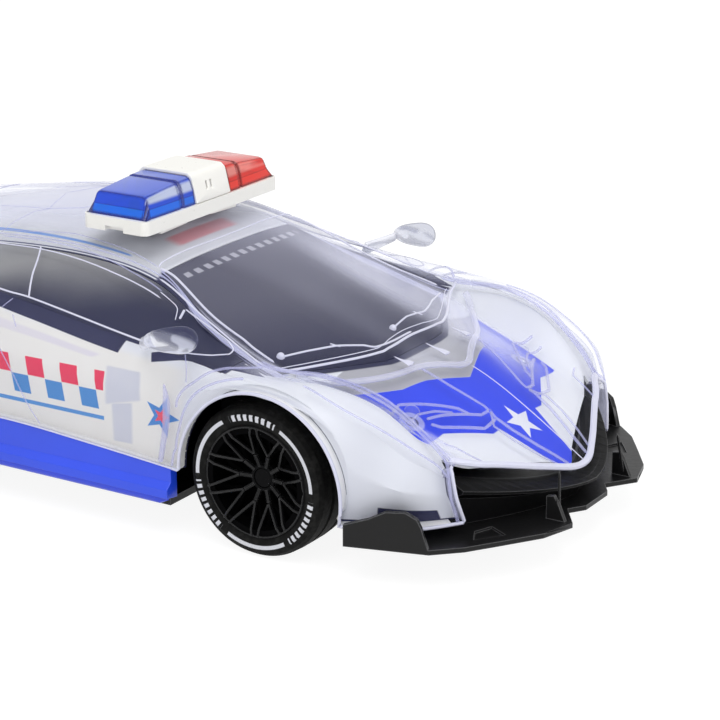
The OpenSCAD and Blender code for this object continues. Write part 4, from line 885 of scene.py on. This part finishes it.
# Softened edges on the moulded pieces that the light catches, in metres
SOFT_EDGES = ("front_bumper", "rear_bumper", "light_bar_base", "light_bar_bridge", "left_side_skirt",
              "right_side_skirt", "battery_door")
WELD_REACH, SOFT_WIDTH, SOFT_FROM = 1e-6, 0.0003, math.radians(35)
for name in SOFT_EDGES:
    weld = nodes[name].modifiers.new("weld", "WELD")
    weld.merge_threshold = WELD_REACH
    soften = nodes[name].modifiers.new("soften", "BEVEL")
    soften.width, soften.segments = SOFT_WIDTH, 2
    soften.limit_method, soften.angle_limit = "ANGLE", SOFT_FROM


# Body: clear shell, printed liner and smoked films

HALF_ACROSS = [1, 2, 3, 4, 4.3, 5, 5.85, EDGE]
STATIONS = spread([0, 0.04, 0.2] + list(range(1, LAST + 1)), 1 / 12)
ACROSS = spread([-v for v in HALF_ACROSS[::-1]] + [0] + HALF_ACROSS, 0.12)
LINER_U = (0.04, LAST - 1 / 3)
FILM_EDGE, FILM_STEP_U, FILM_STEP_V = 0.012, 0.08, 0.1


def beside_windows(u, v):
    """Where the liner is: not in the windscreen or side windows."""
    w = np.abs(v)
    screen = (u > SCREEN_U[0]) & (u < SCREEN_U[1]) & (w < SCREEN_V)
    window = (u > WINDOW_U[0]) & (u < WINDOW_U[1]) & (w > WINDOW_V[0]) & (w < WINDOW_V[1])
    return ~screen & ~window


def film(name, node, us, vs):
    """Smoked film just inside an opening, as deep and thick as the liner, over its stations and places
    across."""
    stations = spread([us[0] + FILM_EDGE, us[1] - FILM_EDGE], FILM_STEP_U)
    across = spread([vs[0] + FILM_EDGE, vs[1] - FILM_EDGE], FILM_STEP_V)
    points, faces, uv = body_skin(stations, across, LINER_DEPTH, LINER_WALL)
    piece(name, points, faces, SMOKED, stands_for=[node], slot="smoked_film", uv=uv)


points, faces, uv = body_skin(STATIONS, ACROSS, 0, SHELL_WALL)
piece("clear_body_shell", points, faces, CLEAR, stands_for=["body_shell"], slot="clear_plastic", uv=uv)
points, faces, uv = body_skin(within(STATIONS, *LINER_U), ACROSS, LINER_DEPTH, LINER_WALL, beside_windows,
                              liner_station)
piece("printed_liner", points, faces, LINER, stands_for=["body_liner"], slot="white_liner", uv=uv)
film("smoked_windscreen", "windscreen_film", SCREEN_U, (-SCREEN_V, SCREEN_V))
film("smoked_left_window", "left_window_film", WINDOW_U, WINDOW_V)
film("smoked_right_window", "right_window_film", WINDOW_U, (-WINDOW_V[1], -WINDOW_V[0]))


# Mouldings on the shell
# Each line is a list of [u, v] on the shell's face and a width in millimetres. Lines of one side are drawn on
# the left and mirrored; those across the middle, the cowl's and the wipers' are drawn whole.

def both_sides(half):
    """A line from the left side to the middle, carried on as its mirror image to the right side."""
    return half + [[u, -v] for u, v in half[::-1] if v]


def bead_on_body(u, v, wide, high):
    """Bead through stations u and places across v, half sunk in the shell's face."""
    return bead(on_body(u, v), body_out(u, v), wide, high)


def moulding(line, wide, high, bend, steps=10):
    """Bead along a line through points given as station and place across; bend is 0 for straight runs with
    corners and 1 for a smooth curve."""
    line = np.array(line, float)
    s = np.linspace(0, len(line) - 1, (len(line) - 1) * steps + 1)
    k = np.minimum(s.astype(int), len(line) - 2)
    straight = line[k] + (line[k + 1] - line[k]) * (s - k)[:, None]
    u, v = np.clip(straight + (curve(line, s) - straight) * bend, [0, -EDGE], [LAST, EDGE]).T
    return bead_on_body(u, v, wide, high)


def mouldings(lines, bend, scale=0.7):
    """Beads along several lines, each as wide as its width times scale and 0.75 as high."""
    return joined(*[moulding(line, scale * wide, 0.75 * scale * wide, bend) for line, wide in lines])


def knob(u, v, radius, high, sides=16, rings=6):
    """Dome on the shell's face: rings of a half ellipse about the face's normal, closed by a pole."""
    centre, up = on_body(u, v), body_out(u, v)
    across = np.cross(up, [0, 0, 1.0])
    across /= np.linalg.norm(across)
    a = np.linspace(0, 2 * np.pi, sides, endpoint=False)
    b = np.linspace(0, np.pi / 2, rings, endpoint=False)[:, None, None]
    spoke = (np.cos(a)[:, None] * across + np.sin(a)[:, None] * np.cross(up, across))[None]
    rows = centre + radius * np.cos(b) * spoke + high * np.sin(b) * up
    top = rings * sides
    last = np.arange((rings - 1) * sides, top)
    cap = np.stack([last, np.roll(last, -1), np.full(sides, top)], -1)
    points = np.concatenate([rows.reshape(-1, 3), (centre + high * up)[None]])
    return points, [quads(rings, sides, around=True, back=True), cap]


def spike(v, tip=3.88, length=1.05):
    """Pointed rib on the cowl: a bead from a tip at the windscreen, growing wider towards the hood."""
    s = np.linspace(0, 1, 20)
    return bead_on_body(tip - length * s, np.full_like(s, v), 0.2 + 2.6 * s, 0.2 + 0.7 * s)


def fender_fin(steps=25):
    """Fin behind the left front wheel: a bead down a smooth line, widest a quarter of the way down and
    pointed on top."""
    s = np.linspace(0, 1, steps)
    line = np.array([[5.12, 4.63], [5.08, 4.95], [5.12, 5.3], [5.2, 5.6], [5.28, 5.95]])
    wide = np.interp(s, [0, 0.25, 0.5, 1], [0.15, 2.1, 1.9, 1.2])
    u, v = curve(line, s * (len(line) - 1)).T
    return bead_on_body(u, v, wide, 1.2 * wide ** 0.5)


def side_hem(steps=240):
    """Bead along the shell's lower edge on the left, thinner over the sill than round the wheels."""
    u = np.linspace(0, LAST, steps)
    wide = np.interp(u, [5.0, 5.2, 9.0, 9.2], [0.9, 0.5, 0.5, 0.9])
    return bead_on_body(u, float(EDGE), wide, wide)


def liner_ledge(rows=4, steps=240):
    """Lower edge of the liner on the left: a thin wall that stands from 0.6 to 3 mm under the outer face."""
    depth, u = np.meshgrid(np.linspace(0.6, 3.0, rows), np.linspace(0.3, LAST - 0.4, steps), indexing="ij")
    return wall(under_body(u, float(EDGE), depth[..., None]), under_body(u, 5.98, depth[..., None]))


def fender_rim(rows=5, steps=40):
    """Front edge of the left fender: a wall 0.5 mm thick that goes back and inwards from the shell's edge."""
    s, v = np.meshgrid(np.linspace(0, 1, rows), np.linspace(3.02, 5.98, steps), indexing="ij")
    u, depth = 0.1 * s, (0.4 + 2.6 * s)[..., None]
    return wall(under_body(u, v, depth), under_body(u, v, depth + 0.5))


def clear_trim(name, part, finish):
    """Piece of clear plastic on the shell."""
    piece(name, *part, finish, slot="clear_plastic")


FENDER_LINES = [
    ([[4.88, 5.07], [4.85, 4.90], [4.73, 4.76], [4.57, 4.63], [4.41, 4.37], [4.12, 3.87], [3.95, 3.3]], 0.7),
    ([[5.12, 5.95], [5.03, 5.66], [4.80, 5.50], [4.70, 5.33], [4.54, 5.12], [4.35, 4.93], [4.11, 4.68],
      [3.9, 4.4]], 0.7),
    ([[4.1, 3.17], [3.2, 3.17], [2.2, 3.18], [1.87, 3.15], [1.52, 3.12], [1.12, 3.1], [0.52, 3.12],
      [0.1, 3.2]], 0.7),
    ([[4.1, 2.96], [3.2, 2.97], [2.06, 2.97], [1.5, 2.96], [0.84, 2.95], [0.4, 2.92], [0.05, 2.9]], 0.8),
    ([[3.28, 3.76], [2.75, 3.99], [1.94, 3.91], [1.13, 3.77], [0.49, 3.79], [0.18, 4.2]], 0.55),
    ([[0.5, 3.02], [0.22, 3.3], [0.16, 3.8], [0.15, 4.55], [0.16, 5.2], [0.17, 5.95]], 0.8),
    ([[11.95, 5.6], [11.8, 5.25], [11.4, 4.9], [10.9, 4.72], [10.3, 4.68], [9.8, 4.8], [9.4, 5.05],
      [9.2, 5.4], [9.1, 5.8]], 0.7),
]
DOOR_LINES = [
    ([[8.6, 3.0], [7.9, 4.0], [7.4, 4.55], [7.16, 4.94], [6.97, 5.28], [6.81, 5.61], [6.63, 5.93]], 0.5),
    ([[4.86, 3.97], [4.78, 4.29], [4.73, 4.63]], 0.5),
    ([[7.14, 4.07], [7.24, 4.28]], 0.5),
    ([[7.09, 4.32], [7.01, 4.51]], 0.5),
    ([[7.93, 2.99], [7.46, 2.98], [6.89, 3.04], [6.30, 3.12], [5.76, 3.16]], 0.6),
    ([[9.2, 2.86], [7.97, 2.87], [7.39, 2.86], [6.78, 2.9], [6.30, 2.9], [5.9, 2.9]], 0.6),
    ([[8.40, 1.09], [8.05, 1.13], [7.81, 1.10], [7.55, 0.81], [7.4, 0]], 0.4),
    ([[7.98, 2.84], [7.90, 1.34], [7.81, 1.10], [8.03, 0]], 0.4),
    ([[8.6, 2.5], [8.02, 2.62], [7.71, 2.6], [7.26, 2.19], [6.6, 2.3], [6.05, 2.5]], 0.4),
    ([[13.0, 1.9], [11.5, 1.9], [10.2, 1.9], [9.5, 1.6], [9.3, 0]], 0.6),
]
HOOD_LINES = [
    ([[2.37, 1.0], [1.73, 1.0], [1.30, 0.95], [1.22, 0.99]], 0.6),
    ([[1.2, 1.0], [1.10, 1.05], [0.84, 1.07], [0.52, 1.03], [0.08, 0.92]], 0.7),
    ([[1.2, 1.0], [1.0, 1.22], [0.7, 1.24], [0.4, 1.2], [0.08, 1.12]], 0.5),
    ([[2.0, 2.3], [2.10, 1.75], [1.9, 1.6], [1.45, 1.30], [1.30, 1.28]], 0.7),
    ([[1.75, 2.2], [1.76, 1.75], [1.62, 1.55], [1.44, 1.41]], 0.6),
    ([[1.62, 1.75], [1.52, 1.56], [1.22, 1.17], [1.22, 1.0]], 0.7),
    ([[1.52, 1.80], [1.38, 1.75], [1.03, 1.36], [1.08, 1.08]], 0.7),
    ([[1.0, 2.3], [0.95, 2.05], [0.6, 2.0], [0.2, 1.95]], 0.4),
]
BRIGHT_LINES = [
    ([[9.3, 4.0], [8.5, 4.0], [7.31, 4.0], [7.0, 3.97], [6.19, 3.98], [5.47, 4.01], [5.25, 4.04]], 0.75),
    ([[7.45, 3.12], [7.20, 3.62], [6.98, 3.97]], 0.75),
    ([[5.35, 3.16], [5.29, 3.36]], 1.0),
    ([[5.35, 3.14], [4.96, 3.11], [4.62, 3.08], [4.46, 3.2], [4.42, 3.45], [4.55, 3.75], [4.73, 3.9],
      [5.14, 4.08]], 0.6),
    ([[5.79, 3.18], [5.5, 3.2], [5.42, 3.24], [5.32, 3.42]], 0.4),
    ([[5.95, 3.01], [5.09, 3.0], [4.31, 3.01], [3.98, 3.16]], 0.8),
    ([[6.02, 2.5], [5.8, 2.2], [5.27, 2.0], [4.64, 1.97], [4.1, 2.1]], 1.0),
    ([[8.5, 3.2], [7.83, 3.2], [7.45, 3.18], [7.02, 3.2], [6.46, 3.24], [5.70, 3.26]], 0.6),
]
ACROSS_LINES = [
    (both_sides([[6.04, 2.5], [6.05, 1.5], [6.02, 0.5]]), 0.7),
    (both_sides([[3.85, 3.04], [3.86, 2.4], [3.9, 1.85], [3.98, 1.32], [4.08, 0.85], [4.11, 0]]), 1.1),
    (both_sides([[3.95, 2.2], [4.0, 1.8], [4.1, 1.2], [4.19, 0.6], [4.21, 0]]), 0.4),
    ([[2.0, 0.05], [1.36, 0.22], [0.79, 0.3], [0.05, 0.34]], 0.45),
]
COWL_LINES = [
    (both_sides([[3.64, 2.48], [3.3, 1.86], [2.53, 1.0], [2.14, 0.24], [2.1, 0]]), 2.6),
]
NEAR_PIVOT, FAR_PIVOT = [4.21, -1.89], [4.28, -0.14]
WIPER_LINES = [
    ([NEAR_PIVOT, [4.26, -1.60], [4.28, -1.31], [4.22, -1.09], [4.16, -1.01], [4.15, -0.5],
      [4.15, 0.13]], 0.9),
    ([FAR_PIVOT, [4.34, 0.5], [4.32, 0.84], [4.2, 1.47], [4.05, 1.86]], 0.8),
    ([[4.33, -1.33], [4.25, -1.29]], 0.6),
    ([[4.36, 0.8], [4.27, 0.88]], 0.6),
]

front_v, lip_v, tail_v = np.linspace(3, EDGE, 40), np.linspace(-3, 3, 90), np.linspace(-EDGE, EDGE, 120)
front_hem = bead_on_body(0.0, front_v, wide=0.9, high=0.9)
tail_hem = bead_on_body(float(LAST), tail_v, wide=1.0, high=0.9)
hood_lip = bead_on_body(lip_station(lip_v), lip_v, wide=1.9, high=1.6)
wiper_knobs = joined(knob(*NEAR_PIVOT, radius=1.1, high=1.3), knob(*FAR_PIVOT, radius=1.0, high=1.2))
lamp_domes = joined(knob(*HOOD_LAMP, radius=2.0, high=1.3), knob(*SMALL_LAMP, radius=0.9, high=0.7))
cowl_spikes = joined(*[spike(v) for v in (0.0, 1.0, -1.0)])
clear_trim("shell_hem", joined(pair(side_hem()), pair(front_hem), tail_hem), CLEAR_BRIGHT)
clear_trim("hood_lip", hood_lip, CLEAR_BRIGHT)
piece("liner_hem", *pair(liner_ledge()), LINER_EDGE, slot="white_liner")
clear_trim("fender_edges", pair(fender_rim()), CLEAR_POST)
clear_trim("fender_mouldings", pair(mouldings(FENDER_LINES, bend=1, scale=1.1)), CLEAR_EDGE)
clear_trim("door_mouldings", pair(mouldings(DOOR_LINES, bend=0.3)), CLEAR_EDGE)
clear_trim("hood_mouldings", pair(mouldings(HOOD_LINES, bend=0.1, scale=1.3)), CLEAR_EDGE)
clear_trim("window_mouldings", pair(mouldings(BRIGHT_LINES, bend=0.5)), CLEAR_BRIGHT)
clear_trim("cross_mouldings", joined(mouldings(ACROSS_LINES, bend=0.6), cowl_spikes), CLEAR_BRIGHT)
clear_trim("cowl_rim", mouldings(COWL_LINES, bend=0.5), CLEAR_POST)
clear_trim("wipers", joined(mouldings(WIPER_LINES, bend=0.3), wiper_knobs), CLEAR_BRIGHT)
clear_trim("lamp_domes", pair(lamp_domes), CLEAR_LAMP)
clear_trim("fender_fins", pair(fender_fin()), CLEAR_EDGE)


# Mirrors and light bar

def mirror_head(rings=28, sides=28, steps=12):
    """Left mirror: circles along a line that rises towards the front, each with a radius that grows to the
    front and closes to nothing at both ends, and a foot that widens down to the door."""
    low, high = box_mm("left_mirror")
    foot = on_body(5.42, 4.05)
    reach = np.array([7.3, -1.0, 1.0])
    middle = np.array([low[0] + 7.3, high[1] - 3.9, high[2] - 4.8])
    s = np.linspace(-1, 1, rings)[:, None, None]
    a = np.linspace(0, 2 * np.pi, sides, endpoint=False)[None, :, None]
    radius = (3.1 + 0.85 * s) * np.sqrt(np.clip(1 - np.abs(s) ** 3, 1e-5, 1))
    circle = np.cos(a) * np.array([0, 1.0, 0]) + np.sin(a) * np.array([-0.15, 0, 1.05])
    ring = middle + s * reach + radius * circle
    head = ring.reshape(-1, 3), [quads(rings, sides, around=True), *end_caps(rings, sides)]
    path = foot + (middle - reach * 0.6 - foot) * np.linspace(-0.1, 0.9, steps)[:, None]
    wide, tall = np.linspace(2.4, 1.8, steps), np.linspace(4.0, 2.4, steps)
    return joined(head, bead(path, [0, 0, 1.0], wide, tall, sides=12))


head = mirror_head()
piece("clear_left_mirror", *head, CLEAR_MIRROR, stands_for=["left_mirror"], slot="clear_plastic")
piece("clear_right_mirror", *mirrored(head), CLEAR_MIRROR, stands_for=["right_mirror"], slot="clear_plastic")

LENS_SECTION = np.array([[-1, 0], [-0.94, 0.5], [-0.86, 0.84], [-0.8, 0.95], [-0.7, 1.0],
                         [0.7, 1.0], [0.8, 0.95], [0.86, 0.84], [0.94, 0.5], [1, 0]])
LENS_ROWS = np.array([[0, 1.0, 1.0], [0.225, 1.0, 0.97], [0.24, 0.95, 0.9], [0.275, 0.95, 0.895],
                      [0.29, 0.985, 0.94], [0.84, 0.965, 0.80], [0.885, 0.955, 0.76], [1.0, 1.0, 0.0]])


def lens_cover(node):
    """Lens: a section with leaning sides and a chamfered top, carried from the bridge outwards by rows of
    [share of the length, share of the depth, share of the height], with a step between its two parts and a
    leaning end."""
    low, high = box_mm(node)
    inner, outer = sorted((low[1], high[1]), key=abs)
    rows, n = len(LENS_ROWS), len(LENS_SECTION)
    x = (low[0] + high[0]) / 2 + (high[0] - low[0]) / 2 * LENS_ROWS[:, 1:2] * LENS_SECTION[:, 0]
    y = np.repeat(inner + (outer - inner) * LENS_ROWS[:, :1], n, 1)
    z = low[2] + (high[2] - low[2]) * LENS_ROWS[:, 2:] * LENS_SECTION[:, 1]
    back = outer > inner
    cap = np.arange(n)[None] if back else np.arange(n)[None, ::-1]
    return np.stack([x, y, z], -1).reshape(-1, 3), [quads(rows, n, around=True, back=back), cap]


for colour, finish in (("blue", BLUE_LENS), ("red", RED_LENS)):
    node = colour + "_lens"
    piece(colour + "_light_lens", *lens_cover(node), finish, stands_for=[node], slot=colour + "_clear",
          sharp=25)


# Wheels: dark backs, painted near-black as shade behind the spokes, and dished spokes, with places as radius
# and distance out from the tyre's inner wall

BACK_PROFILE = np.array([[3.6, 9.3], [13.1, 9.3], [13.1, 9.9], [3.6, 9.9]])
HUB, FORK, SHOULDER, LEG_END, RIM_EDGE = (2.9, 13.3), (6.4, 13.9), (12.5, 17.2), (14.5, 17.35), (14.35, 17.3)
SPOKES, LEG_TURN = 10, math.radians(14.4)
SHOULDER_TURN = LEG_TURN * 0.877


def wheel_place(tyre):
    """Middle of a wheel ahead and up, its inner wall along the axle, and which way is out from there."""
    low, high = box_mm(tyre)
    x, z = ((low + high) / 2)[[0, 2]]
    inner, out = (low[1], 1) if low[1] > 0 else (high[1], -1)
    return x, z, inner, out


def rim_back(tyre, sides=48):
    """Flat ring behind the spokes, painted near-black as shade: a rectangle of radius and place along the
    axle, turned about the axle."""
    x, z, inner, out = wheel_place(tyre)
    corners = len(BACK_PROFILE)
    a = np.linspace(0, 2 * np.pi, sides, endpoint=False)[None, :]
    radius, along = BACK_PROFILE[:, :1], np.repeat(BACK_PROFILE[:, 1:], sides, 1)
    points = np.stack([x + radius * np.cos(a), inner + out * along, z + radius * np.sin(a)], -1)
    i, j = np.meshgrid(np.arange(corners), np.arange(sides), indexing="ij")
    i2, j2 = (i + 1) % corners, (j + 1) % sides
    faces = np.stack([i * sides + j, i * sides + j2, i2 * sides + j2, i2 * sides + j], -1).reshape(-1, 4)
    return points.reshape(-1, 3), [faces if out > 0 else faces[:, ::-1]]


def dished_spokes(tyre):
    """Forked spokes that rise from the hub to the rim's edge: straight beads through points given by radius,
    turn about the axle and place along it, and a thin ring at the edge."""
    x, z, inner, out = wheel_place(tyre)
    outwards = [0, out, 0.0]

    def at(place, turn):
        """Point of a place turned about the axle."""
        radius, along = place
        y = np.full_like(turn, inner + out * along)
        return np.stack([x + radius * np.cos(turn), y, z + radius * np.sin(turn)], -1)

    def bar(points, wide, tall):
        """Bead through points, with short steps at its ends so that it keeps its width up to them."""
        p = np.array(points)
        ends = 0.95 * p[[0, -1]] + 0.05 * p[[1, -2]]
        return bead(np.concatenate([p[:1], ends[:1], p[1:-1], ends[1:], p[-1:]]), outwards, wide, tall)

    parts = []
    for turn in np.arange(SPOKES) * 2 * math.pi / SPOKES:
        parts.append(bar([at(HUB, turn), at(FORK, turn)], wide=1.25, tall=1.4))
        for side in (-1, 1):
            shoulder = at(SHOULDER, turn + side * SHOULDER_TURN)
            end = at(LEG_END, turn + side * LEG_TURN)
            parts.append(bar([at(FORK, turn), shoulder, end], wide=0.85, tall=1.3))
    parts.append(bead(at(RIM_EDGE, np.linspace(0, 2 * math.pi, 73)), outwards, wide=0.5, high=0.7))
    return joined(*parts)


WHEEL_BODIES = {"front_left": "left_wheel", "front_right": "right_wheel", "rear_left": "rear_wheels",
                "rear_right": "rear_wheels"}
for wheel, body in WHEEL_BODIES.items():
    piece(wheel + "_rim_back", *rim_back(wheel + "_tyre"), BACK_SHADE_BLACK, body=body, slot="black_plastic")
    piece(wheel + "_spokes", *dished_spokes(wheel + "_tyre"), SPOKE_BLACK, body=body, slot="black_plastic")


# Bumper struts and skirt lips

def grille_strut(steps=12):
    """Left strut in front of the grille: a thin straight bead that leans back and inwards as it rises."""
    foot, rise = np.array([137.2, 18.4, 10.6]), np.array([-1.4, -2.2, 13.0])
    return bead(foot + np.linspace(0, 1, steps)[:, None] * rise, [1.0, 0, 0], wide=0.5, high=0.8)


def skirt_lip(steps=40):
    """Rounded lip along the foot of the left side skirt: a straight bead from its rear end to its front."""
    low, high = box_mm("left_side_skirt")
    x = np.linspace(low[0] + 0.3, high[0] - 0.3, steps)
    path = np.stack([x, np.full(steps, high[1] - 1.3), np.full(steps, low[2] + 0.1)], -1)
    return bead(path, [0, 0, 1.0], wide=2.4, high=2.9, sides=14)


piece("grille_struts", *pair(grille_strut()), BLACK, slot="black_plastic")
# The lips carry the darker blue, painted shade where they turn under.
piece("left_skirt_lip", *skirt_lip(), BLUE_SHADED_LIP, slot="blue_plastic")
piece("right_skirt_lip", *mirrored(skirt_lip()), BLUE_SHADED_LIP, slot="blue_plastic")


# Stage

FLOOR_HALF, FLOOR_GLOW, FLOOR_GLOW_SHARE = 6, 1.2, 0.75
WORLD_LIGHT, WORLD_SEEN = 0.54, 1.0


def white_floor():
    """White floor that glows to the camera and in reflections and keeps a soft shadow of the car. It shows
    from above only, so that the car can be looked at from below."""
    f = Finish("floor_white")
    path = f.add("LightPath")
    seen = f.value(path.outputs["Is Camera Ray"]).max(f.value(path.outputs["Is Glossy Ray"]))
    lit = f.shader(Base_Color=f.mix(f.grain(3, 1), (0.90, 0.90, 0.90), (0.93, 0.93, 0.93)), Roughness=0.6)
    glow = f.add("Emission", None, Color=(1, 1, 1), Strength=FLOOR_GLOW).outputs[0]
    above = f.blend(seen * FLOOR_GLOW_SHARE, lit, glow)
    below = f.value(f.add("NewGeometry").outputs["Backfacing"])
    made = bpy.data.objects.new("floor", bpy.data.meshes.new("floor"))
    corners = [(x * FLOOR_HALF, y * FLOOR_HALF, 0) for x, y in ((-1, -1), (1, -1), (1, 1), (-1, 1))]
    made.data.from_pydata(corners, [], [(0, 1, 2, 3)])
    made.data.materials.append(f.done(f.blend(below, above, f.clear((1, 1, 1)))))
    bpy.context.scene.collection.objects.link(made)


def white_world():
    """World that gives an even light and is white to the camera, in reflections and in refractions."""
    world = bpy.data.worlds.new("studio")
    bpy.context.scene.world = world
    world.use_nodes = True
    tree = world.node_tree
    tree.nodes.clear()
    out, shade = tree.nodes.new("ShaderNodeOutputWorld"), tree.nodes.new("ShaderNodeBackground")
    path, level = tree.nodes.new("ShaderNodeLightPath"), tree.nodes.new("ShaderNodeMapRange")
    shade.inputs["Color"].default_value = (1, 1, 1, 1)
    level.inputs["To Min"].default_value = WORLD_LIGHT
    level.inputs["To Max"].default_value = WORLD_SEEN
    seen = path.outputs["Is Camera Ray"]
    for name in ("Is Glossy Ray", "Is Transmission Ray"):
        either = tree.nodes.new("ShaderNodeMath")
        either.operation = "MAXIMUM"
        tree.links.new(seen, either.inputs[0])
        tree.links.new(path.outputs[name], either.inputs[1])
        seen = either.outputs[0]
    tree.links.new(seen, level.inputs["Value"])
    tree.links.new(level.outputs[0], shade.inputs["Strength"])
    tree.links.new(shade.outputs[0], out.inputs["Surface"])


def lamp(name, place, aim, size, power):
    """Soft square lamp that points at a place."""
    data = bpy.data.lights.new(name, "AREA")
    data.size, data.energy = size, power
    made = bpy.data.objects.new(name, data)
    made.location = place
    made.rotation_euler = (Vector(aim) - Vector(place)).to_track_quat("-Z", "Y").to_euler()
    bpy.context.scene.collection.objects.link(made)


white_floor()
white_world()
lamp("key_lamp", place=(0.25, -0.45, 1.1), aim=(0.02, 0, 0.03), size=0.9, power=6.8)
lamp("side_lamp", place=(0.3, -1.0, 0.28), aim=(0.02, 0, 0.03), size=0.7, power=1.2)
lamp("front_lamp", place=(1.1, 0.1, 0.5), aim=(0.05, 0, 0.03), size=0.6, power=2.6)

# Camera fitted to the photo
AZIMUTH, ELEVATION = math.radians(31.85), math.radians(18.05)
FOCAL_PX, PHOTO_PX, SENSOR = 2378.0, 720.0, 36.0
camera = bpy.data.objects.new("camera", bpy.data.cameras.new("camera"))
camera.data.sensor_width = SENSOR
camera.data.lens = SENSOR * FOCAL_PX / PHOTO_PX
camera.location = (0.3851, -0.51125, 0.2323)
level = math.cos(ELEVATION)
look = Vector((-math.sin(AZIMUTH) * level, math.cos(AZIMUTH) * level, -math.sin(ELEVATION)))
camera.rotation_euler = look.to_track_quat("-Z", "Y").to_euler()
camera.data.clip_start = 0.01
bpy.context.scene.collection.objects.link(camera)
bpy.context.scene.camera = camera
bpy.context.scene.view_settings.view_transform = "Standard"
